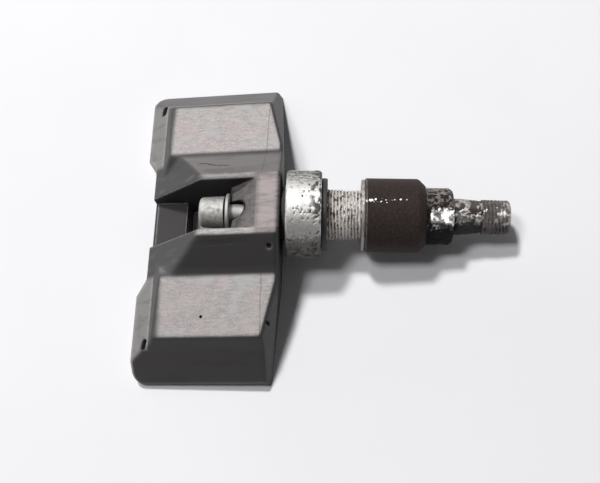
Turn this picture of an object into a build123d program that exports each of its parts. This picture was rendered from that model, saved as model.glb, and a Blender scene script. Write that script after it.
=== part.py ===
from build123d import *
import os
from math import cos, pi, radians, sin, sqrt, tan

os.makedirs("parts", exist_ok=True)

# All sizes are in millimetres. X runs along the valve stem, Y along the housing,
# Z up from the flat underside. The sizes count from the middle of the housing's base,
# and the finished pieces are moved so that the origin lies on the bracket's underside.

# Distance from the middle of the base to the origin, forwards along X
origin_x = 14.0

# Housing outline seen from above
housing_length = 74.0
housing_width = 31.7
corner_radius = 2.7
front_bulge = 1.5
front_flat = 28.0
notch_depth = 2.7
notch_length = 27.5
notch_run = 3.5

# Housing end profile: skirt, slope, short step, the flat top of each wing and the valley behind the saddle
end_skirt = 2.6
end_slope_run = 5.8
end_slope_rise = 5.8
end_step_run = 2.1
wing_outer_height = 11.4
wing_inner_height = 13.3
wing_inner_half = 15.0
valley_height = 7.6
wedge_angle = 2.5

# Housing back profile: skirt, long slope and the step below each wing's flat top
back_skirt = 5.5
back_slope_angle = 37.7
back_slope_run = 4.9
back_step_angle = 58.0
front_corner_setback = 0.8

# Saddle over the screw pocket
rim_height = 18.3
rim_half = 7.2
pocket_half = 6.0
pocket_floor = 5.7
window_back = -5.1

# Shell, openings, dents and resin
wall = 1.6
edge_round = 1.0
rim_round = 0.3
floor_lip = 0.8
vent_width = 1.3
vent_length = 2.3
vent_turn = 20.0
vent_from_back = 3.85
vent_from_end = 7.4
port_diameter = 0.6
port_from_front = 14.45
port_from_end = 12.6
slope_dent_radius = 0.65
slope_dent_x = 16.8
slope_dent_y = -9.9
corner_dent_radius = 0.5
corner_dent_x = 16.2
corner_dent_y = -25.7
corner_dent_z = 11.2
port_boss_diameter = 5.0
port_boss_drop = 1.2
potting_recess = 0.5
potting_depth = 2.0

# Stem axis and swivel seat in the bracket
stem_slope = 5.5
stem_height = 11.75
bracket_depth = 11.8
ball_radius = 7.5
seat_depth = 2.5
seat_clearance = 0.06
swivel_limit = 5.0
bracket_face_top = 0.5
bracket_chamfer_angle = 46.0

# Fixing screw and its washer
screw_diameter = 4.0
screw_bore = 1.5
screw_head_diameter = 7.6
screw_head_end_diameter = 7.0
screw_head_length = 6.1
screw_head_round = 1.0
screw_engagement = 8.0
screw_clearance = 0.03
socket_radius = 1.9
socket_lobe_radius = 0.55
socket_depth = 2.8
slot_clearance = 0.35
washer_diameter = 8.8
washer_thickness = 0.7
washer_gap = 0.05

# Valve stem, stations along its axis from the bracket's front face
collar_gap = 1.2
collar_length = 7.9
collar_diameter = 19.8
collar_chamfer = 0.35
rim_thread_diameter = 11.5
rim_thread_length = 17.9
rim_thread_chamfer = 0.5
neck_diameter = 8.1
neck_end_diameter = 7.2
cap_thread_diameter = 7.7
cap_thread_length = 6.2
stem_length = 51.4
tip_chamfer = 0.7
air_bore = 3.0

# Rubber seal and clamping nut
seal_thickness = 1.3
seal_diameter = 16.6
seal_fit = 0.1
seal_edge = 0.3
thrust_washer_thickness = 0.65
thrust_washer_diameter = 16.2
thrust_washer_fit = 0.25
exposed_thread = 8.3
nut_diameter = 16.8
nut_barrel_length = 12.1
nut_cone_length = 1.6
nut_hex_length = 6.0
nut_hex_flats = 12.0
nut_hex_chamfer = 1.0
nut_hex_turn = 11.0
nut_thread_fit = 0.05
nut_mouth_fit = 0.2
nut_shoulder_room = 5.4
nut_face_gap = 0.05

# Valve core inside the tip
core_thread_diameter = 5.2
core_fit = 0.05
core_recess = 1.0
core_plug_length = 4.4
core_barrel_length = 9.0
core_barrel_diameter = 3.4
core_bore = 4.2
core_guide_wall = 1.0
core_chamber_diameter = 2.6
core_pin_diameter = 1.3
core_pin_collar_diameter = 2.3
core_pin_collar_length = 0.7
core_pin_stand = 0.4
core_pin_stop_gap = 0.3
core_pin_tail = 1.5
core_seal_diameter = 3.3
core_seal_thickness = 0.9
core_seal_gap = 0.02
core_gasket_thickness = 0.8
core_slot_width = 1.1
core_slot_depth = 1.4
core_travel_room = 3.0
spring_wire = 0.28
spring_turns = 5

# Circuit board, cell and the pieces on the board
board_thickness = 1.0
board_gap = 0.35
cell_diameter = 20.0
cell_height = 4.6
cell_gap = 0.6
cell_x = 2.4
tab_thickness = 0.2
tab_width = 4.0
tab_leg_gap = 0.4
sensor_size = 7.0
sensor_nozzle_diameter = 3.0
sensor_nozzle_length = 0.4
filter_thickness = 0.3
chip_size = 6.0
chip_height = 1.2
chip_from_front = 7.25
chip_y = -13.5
crystal_length = 5.0
crystal_width = 3.2
crystal_height = 1.3
crystal_gap = 2.4
coil_length = 8.0
coil_diameter = 2.6
coil_flange = 3.6
coil_flange_width = 1.0
coil_from_back = 12.85
coil_y = -12.5
capacitor_length = 2.0
capacitor_width = 1.25
capacitor_height = 1.0
capacitor_pitch = 2.2
capacitor_count = 4
capacitor_from_front = 2.85
capacitor_from_end = 12.0
antenna_width = 1.2
antenna_thickness = 0.5
antenna_span = 17.0
antenna_rise = 2.6
antenna_bend = 1.5
antenna_x = 1.0
antenna_from_end = 7.4

# Values worked out from the sizes above
half_length = housing_length / 2
back_x = -housing_width / 2
corner_x = housing_width / 2
front_x = corner_x + front_bulge
lean = tan(radians(stem_slope))
wedge = tan(radians(wedge_angle))
plateau_fall = wing_inner_height - wing_outer_height
wing_outer_half = half_length - end_slope_run - end_step_run
below = 6.0
headroom = 5.0
reach = housing_width
vent_x = back_x + vent_from_back
vent_y = half_length - vent_from_end
port_x = corner_x - port_from_front
port_y = port_from_end - half_length
chip_x = corner_x - chip_from_front
crystal_y = chip_y - chip_size / 2 - crystal_gap - crystal_width / 2
coil_x = back_x + coil_from_back
capacitor_x = corner_x - capacitor_from_front
capacitor_y = capacitor_from_end - half_length
antenna_y = antenna_from_end - half_length

stem_point = Vector(front_x + stem_height * lean, 0, stem_height)
stem_axis = Vector(cos(radians(stem_slope)), 0, -sin(radians(stem_slope)))
stem_up = Vector(sin(radians(stem_slope)), 0, cos(radians(stem_slope)))
stem_place = Location(Plane(origin=stem_point, x_dir=stem_axis, z_dir=stem_up))
ball_centre = ball_radius - seat_depth
track_radius = ball_centre + bracket_depth

board_bottom = potting_recess + potting_depth
board_top = board_bottom + board_thickness


def polygon(points):
    """Flat face with straight edges through the given points."""
    return make_face(Polyline(*points, close=True))


def inset_face(face, inset):
    """The face moved in from its outline by the inset, or the face itself."""
    if inset == 0:
        return face
    return offset(face, amount=-inset, kind=Kind.INTERSECTION)


def soften(solid, edges, radius):
    """Round the edges, or leave the solid sharp where the form has no room for it."""
    try:
        return fillet(edges, radius)
    except Exception:
        return solid


def wing_height(x, y):
    """Height of a wing's flat top above the base at a place seen from above."""
    share = (wing_outer_half - abs(y)) / (wing_outer_half - wing_inner_half)
    return wing_outer_height + plateau_fall * share + x * wedge


def lengthwise_prism(profile, inset):
    """A Y-Z profile run along X with the small rise of the housing's top."""
    start = back_x - reach
    points = [(start, y, z + start * wedge) for y, z in profile]
    run = (front_x - start + reach) / cos(radians(wedge_angle))
    direction = (cos(radians(wedge_angle)), 0, sin(radians(wedge_angle)))
    return extrude(inset_face(polygon(points), inset), amount=run, dir=direction)


def crosswise_prism(profile, inset):
    """An X-Z profile run along Y over the whole housing."""
    face = inset_face(polygon([(x, 0, z) for x, z in profile]), inset)
    return extrude(face, amount=half_length + reach, both=True)


def plan_prism(inset):
    """The housing's outline from above, open towards the front, run along Z."""
    notch_half = notch_length / 2
    notch_end = notch_half + notch_run
    far = front_x + reach
    outline = polygon([
        (far, -half_length),
        (far, half_length),
        (back_x, half_length),
        (back_x, notch_end),
        (back_x + notch_depth, notch_half),
        (back_x + notch_depth, -notch_half),
        (back_x, -notch_end),
        (back_x, -half_length),
    ])
    corners = outline.vertices().filter_by(lambda v: v.X < 0 and abs(v.Y) > notch_end + corner_radius)
    rounded = fillet(corners, corner_radius)
    return extrude(inset_face(rounded, inset), amount=reach, both=True)


def trim(solid, point, normal, inset):
    """Keep what lies behind a plane that is moved in by the inset."""
    outward = normal.normalized()
    plane = Plane(origin=point - outward * inset, z_dir=outward)
    return split(solid, bisect_by=plane, keep=Keep.BOTTOM)


def trim_front(solid, inset):
    """Cut both front walls of the V and the slanted face at each front corner."""
    lean_line = Vector(lean, 0, 1)
    for side in (1, -1):
        middle = Vector(front_x, side * front_flat / 2, 0)
        corner = Vector(corner_x, side * half_length, 0)
        solid = trim(solid, corner, (corner - middle).cross(lean_line) * side, inset)
        inner_z = wing_height(front_x, wing_inner_half)
        outer_x = corner_x - front_corner_setback
        inner = Vector(front_x + inner_z * lean, side * wing_inner_half, inner_z)
        outer = Vector(outer_x, side * wing_outer_half, wing_height(outer_x, wing_outer_half))
        solid = trim(solid, corner, (inner - outer).cross(corner - outer) * side, inset)
    return solid


def blank(inset):
    """The housing's outer form without pocket and cavity, moved in by the inset."""
    knee_y = half_length - end_slope_run
    knee_z = end_skirt + end_slope_rise
    wing_half = [
        (half_length, -below),
        (half_length, end_skirt),
        (knee_y, knee_z),
        (wing_outer_half, wing_outer_height),
        (wing_inner_half, wing_inner_height),
        (rim_half, valley_height),
    ]
    saddle_half = [
        (wing_inner_half, -below),
        (wing_inner_half, wing_inner_height),
        (rim_half, rim_height),
    ]
    slope = tan(radians(back_slope_angle))
    step_x = back_x + back_slope_run
    step_z = back_skirt + back_slope_run * slope
    top = rim_height + headroom
    front = [(front_x + top * lean, top), (front_x - below * lean, -below)]
    back = [(back_x, -below), (back_x, back_skirt)]
    wing_front = back + [(step_x, step_z)]
    wing_front += [(step_x + (top - step_z) / tan(radians(back_step_angle)), top)] + front
    saddle_front = back + [(back_x + (top - back_skirt) / slope, top)] + front
    mirrored = [(-y, z) for y, z in reversed(wing_half)]
    wings = lengthwise_prism(wing_half + mirrored, inset) & crosswise_prism(wing_front, inset)
    mirrored = [(-y, z) for y, z in reversed(saddle_half)]
    saddle = lengthwise_prism(saddle_half + mirrored, inset) & crosswise_prism(saddle_front, inset)
    return trim_front((wings + saddle) & plan_prism(inset), inset)


def block(low, high):
    """Box between two corners."""
    size = [b - a for a, b in zip(low, high)]
    middle = [(a + b) / 2 for a, b in zip(low, high)]
    return Pos(*middle) * Box(*size)


def cavity(inset):
    """Space for the electronics: one room in each wing and the neck between them."""
    side = pocket_half + inset
    middle = block((back_x - reach, -side, -reach), (front_x + reach, side, reach))
    neck = block(
        (back_x + notch_depth + inset, -side - inset, -below),
        (window_back - inset, side + inset, pocket_floor - inset),
    )
    return blank(inset) - middle + neck


def bracket_body():
    """Everything in front of the bracket's back face, which is round about the swivel."""
    low = -stem_height
    foot = ball_centre - sqrt(track_radius**2 - low**2)
    brow = ball_centre - sqrt(track_radius**2 - bracket_face_top**2)
    high = rim_height + reach
    crest = brow + (high - bracket_face_top) * tan(radians(bracket_chamfer_angle))
    arc = ThreePointArc((foot, 0, low), (ball_centre - track_radius, 0, 0), (brow, 0, bracket_face_top))
    edge = Polyline((brow, 0, bracket_face_top), (crest, 0, high), (crest + reach, 0, high),
                    (crest + reach, 0, low - below), (foot, 0, low - below), (foot, 0, low))
    return stem_place * extrude(make_face(arc + edge), amount=pocket_half + wall, both=True)


def vent(side):
    """Oblong hole through the back slope near one outer corner."""
    z = back_skirt + (vent_x - back_x) * tan(radians(back_slope_angle))
    angle = radians(back_slope_angle)
    plane = Plane(origin=(vent_x, side * vent_y, z), x_dir=(0, 1, 0), z_dir=(-sin(angle), 0, cos(angle)))
    slot = plane * Rot(0, 0, -vent_turn) * SlotOverall(vent_length, vent_width)
    return extrude(slot, amount=2 * wall, both=True)


def swivel_slot():
    """Upright slot in the bracket that lets the screw swing with the stem."""
    width = screw_diameter + 2 * slot_clearance
    height = width + 2 * track_radius * sin(radians(swivel_limit))
    plane = Plane(origin=(0, 0, 0), x_dir=(0, 0, 1), z_dir=(-1, 0, 0))
    return stem_place * extrude(plane * SlotOverall(height, width), amount=bracket_depth + reach)


def dents():
    """Two small dents: one on a saddle slope and one on a slanted front corner."""
    share = (wing_inner_half - abs(slope_dent_y)) / (wing_inner_half - rim_half)
    slope_z = wing_inner_height + (rim_height - wing_inner_height) * share + slope_dent_x * wedge
    slope_dent = Pos(slope_dent_x, slope_dent_y, slope_z) * Sphere(slope_dent_radius)
    return slope_dent + Pos(corner_dent_x, corner_dent_y, corner_dent_z) * Sphere(corner_dent_radius)


def lip_cut():
    """Slanted cut along the back edge of the pocket's floor."""
    edge_x = back_x + notch_depth
    corner = polygon([
        (edge_x - floor_lip, 0, pocket_floor + floor_lip),
        (edge_x + 2 * floor_lip, 0, pocket_floor + floor_lip),
        (edge_x - floor_lip, 0, pocket_floor - 2 * floor_lip),
    ])
    return extrude(corner, amount=pocket_half, both=True)


def make_housing():
    """Moulded housing: two wings, saddle, screw pocket with window, bracket and seat."""
    bracket = bracket_body()
    far = front_x + reach
    pocket = block((back_x - reach, -pocket_half, pocket_floor), (far, pocket_half, reach + rim_height))
    window = block((window_back, -pocket_half, -below), (far, pocket_half, reach))
    base_cut = block((back_x - reach, -half_length - reach, -2 * reach), (far, half_length + reach, 0))
    seat = stem_place * (Pos(ball_centre, 0, 0) * Sphere(ball_radius + seat_clearance))
    boss_top = wing_height(port_x, port_y) - wall / 2
    boss = Pos(port_x, port_y, (boss_top + boss_bottom()) / 2) * Cylinder(
        port_boss_diameter / 2, boss_top - boss_bottom())
    port = Pos(port_x, port_y, boss_top) * Cylinder(port_diameter / 2, 4 * wall + 2 * port_boss_drop)
    outer = blank(0) - base_cut
    top_edges = outer.edges().filter_by(lambda e: e.center().Z > end_skirt + edge_round)
    outer = soften(outer, top_edges, edge_round)
    shell = outer - (pocket - bracket) - lip_cut()
    rims = shell.edges().filter_by(
        lambda e: abs(abs(e.center().Y) - pocket_half) < rim_round and e.center().Z > pocket_floor + floor_lip
        and abs((e % 0.5).Y) < rim_round and e.center().X < stem_point.X - bracket_depth / 2)
    shell = soften(shell, rims.filter_by(lambda e: abs((e % 0.5).X) > rim_round), rim_round)
    shell = shell - cavity(wall) + boss - (window - bracket)
    shell = shell - seat - swivel_slot() - port - dents()
    for side in (1, -1):
        shell = shell - vent(side)
    return shell


def boss_bottom():
    """Height of the port boss's flat lower end."""
    return wing_height(port_x, abs(port_y) + port_boss_diameter / 2) - 2 * wall - port_boss_drop


def make_potting():
    """Resin that closes the underside around the board."""
    slab = block((back_x, -half_length, potting_recess), (front_x + reach, half_length, board_bottom))
    return cavity(wall) & slab


def make_board():
    """Circuit board cut to the housing's inside, lying on the resin."""
    outline = section(cavity(wall + board_gap), section_by=Plane.XY.offset(board_top))
    return extrude(outline, amount=board_thickness, dir=(0, 0, -1))


def cell_centre():
    """Middle of the cell's lower face, on its lower tab."""
    return Vector(cell_x, pocket_half + wall + cell_gap + cell_diameter / 2, board_top + tab_thickness)


def make_cell():
    """Coin cell: wide can with the smaller cap of its other pole below it."""
    step = cell_height / 5
    profile = polygon([
        (0, 0, 0),
        (cell_diameter / 2 - step, 0, 0),
        (cell_diameter / 2 - step, 0, step),
        (cell_diameter / 2, 0, step),
        (cell_diameter / 2, 0, cell_height),
        (0, 0, cell_height),
    ])
    return Pos(*cell_centre()) * revolve(profile, axis=Axis.Z)


def make_cell_tabs():
    """Lower strip under the cell and upper strip that steps down to the board."""
    middle = cell_centre()
    half = tab_width / 2
    lower = block(
        (middle.X - cell_diameter / 2 - tab_leg_gap, middle.Y - half, board_top),
        (middle.X + tab_width, middle.Y + half, board_top + tab_thickness),
    )
    top = middle.Z + cell_height
    leg_x = middle.X + cell_diameter / 2 + tab_leg_gap
    upper = block((middle.X - half, middle.Y - half, top), (leg_x, middle.Y + half, top + tab_thickness))
    upper += block(
        (leg_x, middle.Y - half, board_top),
        (leg_x + tab_thickness, middle.Y + half, top + tab_thickness),
    )
    return lower, upper


def make_pressure_sensor():
    """Sensor package with a nozzle that reaches up to the port's filter."""
    nozzle_high = boss_bottom() - filter_thickness
    body_height = nozzle_high - sensor_nozzle_length - board_top
    tube = Cylinder(sensor_nozzle_diameter / 2, sensor_nozzle_length)
    tube -= Cylinder(port_diameter / 2, sensor_nozzle_length)
    body = on_board(port_x, port_y, sensor_size, sensor_size, body_height)
    return body + Pos(port_x, port_y, nozzle_high - sensor_nozzle_length / 2) * tube


def make_port_filter():
    """Thin disc between the port boss and the sensor's nozzle."""
    disc = Cylinder(port_boss_diameter / 2, filter_thickness)
    return Pos(port_x, port_y, boss_bottom() - filter_thickness / 2) * disc


def on_board(x, y, length, width, height):
    """Box that stands on the board."""
    return Pos(x, y, board_top + height / 2) * Box(length, width, height)


def make_coil():
    """Wake-up coil: a wound rod between two square end pieces."""
    axis_z = board_top + coil_flange / 2
    end_x = (coil_length - coil_flange_width) / 2
    rod = Pos(coil_x, coil_y, axis_z) * Rot(0, 90, 0) * Cylinder(coil_diameter / 2, coil_length)
    for side in (1, -1):
        rod += on_board(coil_x + side * end_x, coil_y, coil_flange_width, coil_flange, coil_flange)
    return rod


def make_capacitors():
    """Row of equal chip capacitors."""
    row = [
        on_board(capacitor_x, capacitor_y + n * capacitor_pitch, capacitor_length, capacitor_width,
                 capacitor_height)
        for n in range(capacitor_count)
    ]
    return Compound(children=row)


def make_antenna():
    """Strip bow that stands on the board along the outer end of a wing."""
    half = antenna_span / 2
    outside = polygon([
        (antenna_x - half, antenna_y, board_top),
        (antenna_x - half, antenna_y, board_top + antenna_rise),
        (antenna_x + half, antenna_y, board_top + antenna_rise),
        (antenna_x + half, antenna_y, board_top),
    ])
    bent = fillet(outside.vertices().filter_by(lambda v: v.Z > board_top + antenna_bend), antenna_bend)
    inside = Pos(0, 0, -antenna_thickness) * offset(bent, amount=-antenna_thickness, kind=Kind.INTERSECTION)
    inside += offset(bent, amount=-antenna_thickness, kind=Kind.INTERSECTION)
    return extrude(bent - inside, amount=antenna_width / 2, both=True)


def turned(points):
    """Solid turned about the stem's axis from stations along it and radii."""
    profile = polygon([(along, 0, radius) for along, radius in points])
    return revolve(profile, axis=Axis.X)


def cylinder_along(start, end, diameter):
    """Plain cylinder on the stem's axis between two stations."""
    return Pos((start + end) / 2, 0, 0) * Rot(0, 90, 0) * Cylinder(diameter / 2, end - start)


collar_start = collar_gap
collar_end = collar_start + collar_length
seal_end = collar_end + seal_thickness
thread_end = collar_end + rim_thread_length
thrust_end = seal_end + exposed_thread
thrust_start = thrust_end - thrust_washer_thickness
nut_start = thrust_end + nut_face_gap
barrel_end = nut_start + nut_barrel_length
cone_end = barrel_end + nut_cone_length
nut_end = cone_end + nut_hex_length
nut_shoulder = thread_end + nut_shoulder_room
screw_seat = -bracket_depth - washer_gap
head_end = screw_seat - washer_thickness
screw_end = screw_engagement - seat_depth
core_top = stem_length - core_recess
plug_end = core_top - core_plug_length
barrel_tip = plug_end - core_barrel_length


def make_stem():
    """Turned stem: ball foot, collar, rim thread, tapered neck, cap thread and its bores."""
    c = collar_chamfer
    r = collar_diameter / 2
    thread_r = rim_thread_diameter / 2
    cap_r = cap_thread_diameter / 2
    body = turned([
        (collar_start, 0),
        (collar_start, r - c),
        (collar_start + c, r),
        (collar_end - c, r),
        (collar_end, r - c),
        (collar_end, thread_r),
        (thread_end - rim_thread_chamfer, thread_r),
        (thread_end, thread_r - rim_thread_chamfer),
        (thread_end, neck_diameter / 2),
        (stem_length - cap_thread_length, neck_end_diameter / 2),
        (stem_length - cap_thread_length, cap_r),
        (stem_length - tip_chamfer, cap_r),
        (stem_length, cap_r - tip_chamfer),
        (stem_length, 0),
    ])
    foot = Pos(ball_centre, 0, 0) * Sphere(ball_radius)
    body += foot & cylinder_along(-seat_depth - 1, collar_start, 4 * ball_radius)
    screw_hole = screw_diameter + 2 * screw_clearance
    plug_hole = core_thread_diameter + 2 * core_fit
    gasket_start = plug_end - core_gasket_thickness
    body -= cylinder_along(-seat_depth - 1, screw_end + 1, screw_hole)
    body -= cylinder_along(screw_end, stem_length, air_bore)
    body -= cylinder_along(barrel_tip - core_seal_thickness - core_travel_room, stem_length, core_bore)
    body -= cylinder_along(gasket_start, stem_length + 1, plug_hole)
    return body


def make_seal():
    """Rubber ring on the collar with a softened outer edge."""
    inner = rim_thread_diameter / 2 + seal_fit
    outer = seal_diameter / 2
    return turned([
        (collar_end, inner),
        (collar_end, outer - seal_edge),
        (collar_end + seal_edge, outer),
        (seal_end - seal_edge, outer),
        (seal_end, outer - seal_edge),
        (seal_end, inner),
    ])


def make_thrust_washer():
    """Thin ring that the nut presses against the rim."""
    ring = cylinder_along(thrust_start, thrust_end, thrust_washer_diameter)
    return ring - cylinder_along(thrust_start, thrust_end, rim_thread_diameter + 2 * thrust_washer_fit)


def make_nut():
    """Clamping nut: smooth barrel, cone and a hexagon around the stem's neck."""
    hex_r = nut_hex_flats / 2
    corner_r = hex_r / cos(pi / 6)
    body = turned([
        (nut_start, 0),
        (nut_start, nut_diameter / 2 - collar_chamfer),
        (nut_start + collar_chamfer, nut_diameter / 2),
        (barrel_end, nut_diameter / 2),
        (cone_end, corner_r),
        (cone_end, 0),
    ])
    plane = Plane(origin=(cone_end, 0, 0), x_dir=(0, 1, 0), z_dir=(1, 0, 0)).rotated((0, 0, nut_hex_turn))
    hexagon = extrude(plane * RegularPolygon(corner_r, 6), amount=nut_hex_length)
    crown = turned([
        (cone_end, 0),
        (cone_end, corner_r),
        (nut_end - nut_hex_chamfer, corner_r),
        (nut_end, corner_r - nut_hex_chamfer),
        (nut_end, 0),
    ])
    body += hexagon & crown
    body -= cylinder_along(nut_start, nut_shoulder, rim_thread_diameter + 2 * nut_thread_fit)
    return body - cylinder_along(nut_start, nut_end, neck_diameter + 2 * nut_mouth_fit)


def make_screw():
    """Hollow fixing screw with a tall tapered head and a six-lobe socket."""
    r = screw_head_end_diameter / 2
    start = head_end - screw_head_length
    corner = screw_head_round * (1 - sqrt(0.5))
    body = turned([
        (start, 0),
        (start, r - screw_head_round),
        (start + corner, r - corner),
        (start + screw_head_round, r),
        (head_end, screw_head_diameter / 2),
        (head_end, screw_diameter / 2),
        (screw_end, screw_diameter / 2),
        (screw_end, 0),
    ])
    plane = Plane(origin=(start, 0, 0), x_dir=(0, 1, 0), z_dir=(1, 0, 0))
    lobes = Circle(socket_radius - socket_lobe_radius / 2)
    lobes += PolarLocations(socket_radius - socket_lobe_radius / 2, 6) * Circle(socket_lobe_radius)
    body -= extrude(plane * lobes, amount=socket_depth)
    return body - cylinder_along(start, screw_end, screw_bore)


def make_screw_washer():
    """Flat washer between the screw's head and the bracket."""
    ring = cylinder_along(head_end, screw_seat, washer_diameter)
    return ring - cylinder_along(head_end, screw_seat, screw_diameter + 2 * slot_clearance)


def make_core_body():
    """Valve core: threaded plug with a key slot, and the barrel below it."""
    guide = core_pin_diameter + 2 * core_fit
    body = cylinder_along(plug_end, core_top, core_thread_diameter)
    body += cylinder_along(barrel_tip, plug_end, core_barrel_diameter)
    body -= cylinder_along(barrel_tip + core_guide_wall, core_top - core_slot_depth - core_guide_wall,
                           core_chamber_diameter)
    body -= cylinder_along(barrel_tip, core_top, guide)
    slot = Pos(core_top - core_slot_depth / 2, 0, 0) * Box(
        core_slot_depth, core_thread_diameter + 1, core_pin_diameter + core_slot_width)
    return body - slot


def make_core_gasket():
    """Ring under the plug that seals the core in the stem."""
    low = plug_end - core_gasket_thickness
    ring = cylinder_along(low, plug_end, core_thread_diameter)
    return ring - cylinder_along(low, plug_end, core_barrel_diameter + 2 * core_fit)


collar_top = core_top - core_slot_depth - core_guide_wall - core_pin_stop_gap
collar_low = collar_top - core_pin_collar_length


def make_core_pin():
    """Pin that opens the valve when it is pressed at the tip."""
    pin = cylinder_along(barrel_tip - core_seal_thickness - core_pin_tail, stem_length - core_pin_stand,
                         core_pin_diameter)
    return pin + cylinder_along(collar_low, collar_top, core_pin_collar_diameter)


def make_core_seal():
    """Sealing disc on the pin's inner end."""
    high = barrel_tip - core_seal_gap
    low = high - core_seal_thickness
    return cylinder_along(low, high, core_seal_diameter) - cylinder_along(low, high, core_pin_diameter)


def make_core_spring():
    """Coil spring round the pin, between the barrel's floor and the pin's collar."""
    radius = (core_chamber_diameter + core_pin_diameter) / 4
    low = barrel_tip + core_guide_wall + spring_wire / 2
    height = collar_low - spring_wire / 2 - low
    path = Helix(pitch=height / spring_turns, height=height, radius=radius)
    section = Plane(origin=path @ 0, x_dir=(1, 0, 0), z_dir=path % 0) * Rectangle(spring_wire, spring_wire)
    coil = sweep(section, path=path, is_frenet=True)
    return Pos(low, 0, 0) * Rot(0, 90, 0) * coil


def main():
    """Build every piece and write one file for each."""
    lower_tab, upper_tab = make_cell_tabs()
    pieces = {
        "housing": make_housing(),
        "potting_resin": make_potting(),
        "circuit_board": make_board(),
        "battery_cell": make_cell(),
        "battery_tab_lower": lower_tab,
        "battery_tab_upper": upper_tab,
        "pressure_sensor": make_pressure_sensor(),
        "port_filter": make_port_filter(),
        "transmitter_chip": on_board(chip_x, chip_y, chip_size, chip_size, chip_height),
        "crystal": on_board(chip_x, crystal_y, crystal_length, crystal_width, crystal_height),
        "wake_up_coil": make_coil(),
        "capacitors": make_capacitors(),
        "antenna_strip": make_antenna(),
    }
    on_stem = {
        "valve_stem": make_stem(),
        "rim_seal": make_seal(),
        "thrust_washer": make_thrust_washer(),
        "clamping_nut": make_nut(),
        "fixing_screw": make_screw(),
        "screw_washer": make_screw_washer(),
        "core_body": make_core_body(),
        "core_gasket": make_core_gasket(),
        "core_pin": make_core_pin(),
        "core_seal": make_core_seal(),
        "core_spring": make_core_spring(),
    }
    for name, solid in on_stem.items():
        pieces[name] = stem_place * solid
    for name, solid in pieces.items():
        export_step(Pos(-origin_x, 0, 0) * solid, f"parts/{name}.step")


main()
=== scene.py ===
"""Looks of a worn tyre pressure sensor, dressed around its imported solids.

The turned pieces are modelled in millimetres about the stem's axis and then placed in the
shared frame in metres. The housing and the valve core's spring are cleaned copies of their
solids, and the other nodes keep their own mesh.
"""

import logging
import math
from dataclasses import dataclass
from enum import Enum
from functools import reduce
from itertools import product
from typing import NamedTuple, Sequence

import bpy
import numpy as np
from mathutils import Matrix, Vector


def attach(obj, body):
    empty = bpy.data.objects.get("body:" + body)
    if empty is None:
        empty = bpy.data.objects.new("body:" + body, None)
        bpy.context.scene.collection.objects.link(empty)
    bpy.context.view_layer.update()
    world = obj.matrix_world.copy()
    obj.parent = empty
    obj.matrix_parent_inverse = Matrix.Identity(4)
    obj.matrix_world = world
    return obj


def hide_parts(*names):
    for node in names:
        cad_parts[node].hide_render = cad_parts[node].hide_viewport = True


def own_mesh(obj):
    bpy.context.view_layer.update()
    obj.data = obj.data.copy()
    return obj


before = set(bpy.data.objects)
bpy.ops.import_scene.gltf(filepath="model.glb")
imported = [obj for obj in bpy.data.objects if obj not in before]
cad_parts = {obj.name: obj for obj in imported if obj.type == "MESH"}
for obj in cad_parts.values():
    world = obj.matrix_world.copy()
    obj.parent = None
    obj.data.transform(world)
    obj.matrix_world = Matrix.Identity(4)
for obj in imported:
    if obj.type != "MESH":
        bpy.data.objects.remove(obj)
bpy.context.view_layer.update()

LOG = logging.getLogger("sensor")
MM = 0.001
FULL_TURN = 2 * math.pi
WELD_MM = 1e-4
COPY_WELD_MM = 0.002
CREST_GAIN, CREST_CUT = 1.7, 0.3
PIT_FLOOR = 0.35
LATTICE_KEYS = np.array([73856093, 19349663, 83492791])
SEED_KEY = 2654435
SCRAMBLES = ((13, 1274126177), (16, 668265263))
LAST_SHIFT = 15
TOP_KEY = 0x7FFFFFFF

Colour = tuple[float, float, float, float]
Point = tuple[float, float, float]
Piece = bpy.types.Object
Tree = bpy.types.NodeTree
Outputs = bpy.types.NodeOutputs
Socket = bpy.types.NodeSocket
Value = float | Colour | Socket
Masks = dict[str, np.ndarray]


class Body(Enum):
    """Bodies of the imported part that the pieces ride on."""

    HOUSING = "housing"
    STEM = "stem"
    THRUST_RING = "thrust_ring"
    NUT = "nut"


class Station(NamedTuple):
    """A corner of a turned profile, and the number of steps that lead to it."""

    along: float
    radius: float
    parts: int = 1


class Grain(NamedTuple):
    """Layered noise: its largest cells in millimetres, number of layers and seed."""

    size: float
    layers: int
    seed: int


class Patches(NamedTuple):
    """Layered noise cut to soft patches, from nothing at low to full at high."""

    size: float
    layers: int
    seed: int
    low: float
    high: float


class Step(NamedTuple):
    """A soft step of a value, from start at low to end at high."""

    low: float
    high: float
    start: float = 0.0
    end: float = 1.0


class Stroke(NamedTuple):
    """A thin line: its middle and half width across, and its two ends along."""

    middle: float
    half: float
    start: float
    end: float


def rgb(red: float, green: float, blue: float) -> Colour:
    """An opaque colour from its linear parts."""
    return (red, green, blue, 1.0)


def dimmed(colour: Colour, share: float) -> Colour:
    """A share of a colour's light."""
    return tuple(share * part for part in colour[:3]) + (1.0,)


def ease(values: np.ndarray, low: float, high: float) -> np.ndarray:
    """A soft step from 0 at low to 1 at high."""
    share = np.clip((values - low) / (high - low), 0.0, 1.0)
    return share * share * (3.0 - 2.0 * share)


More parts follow.
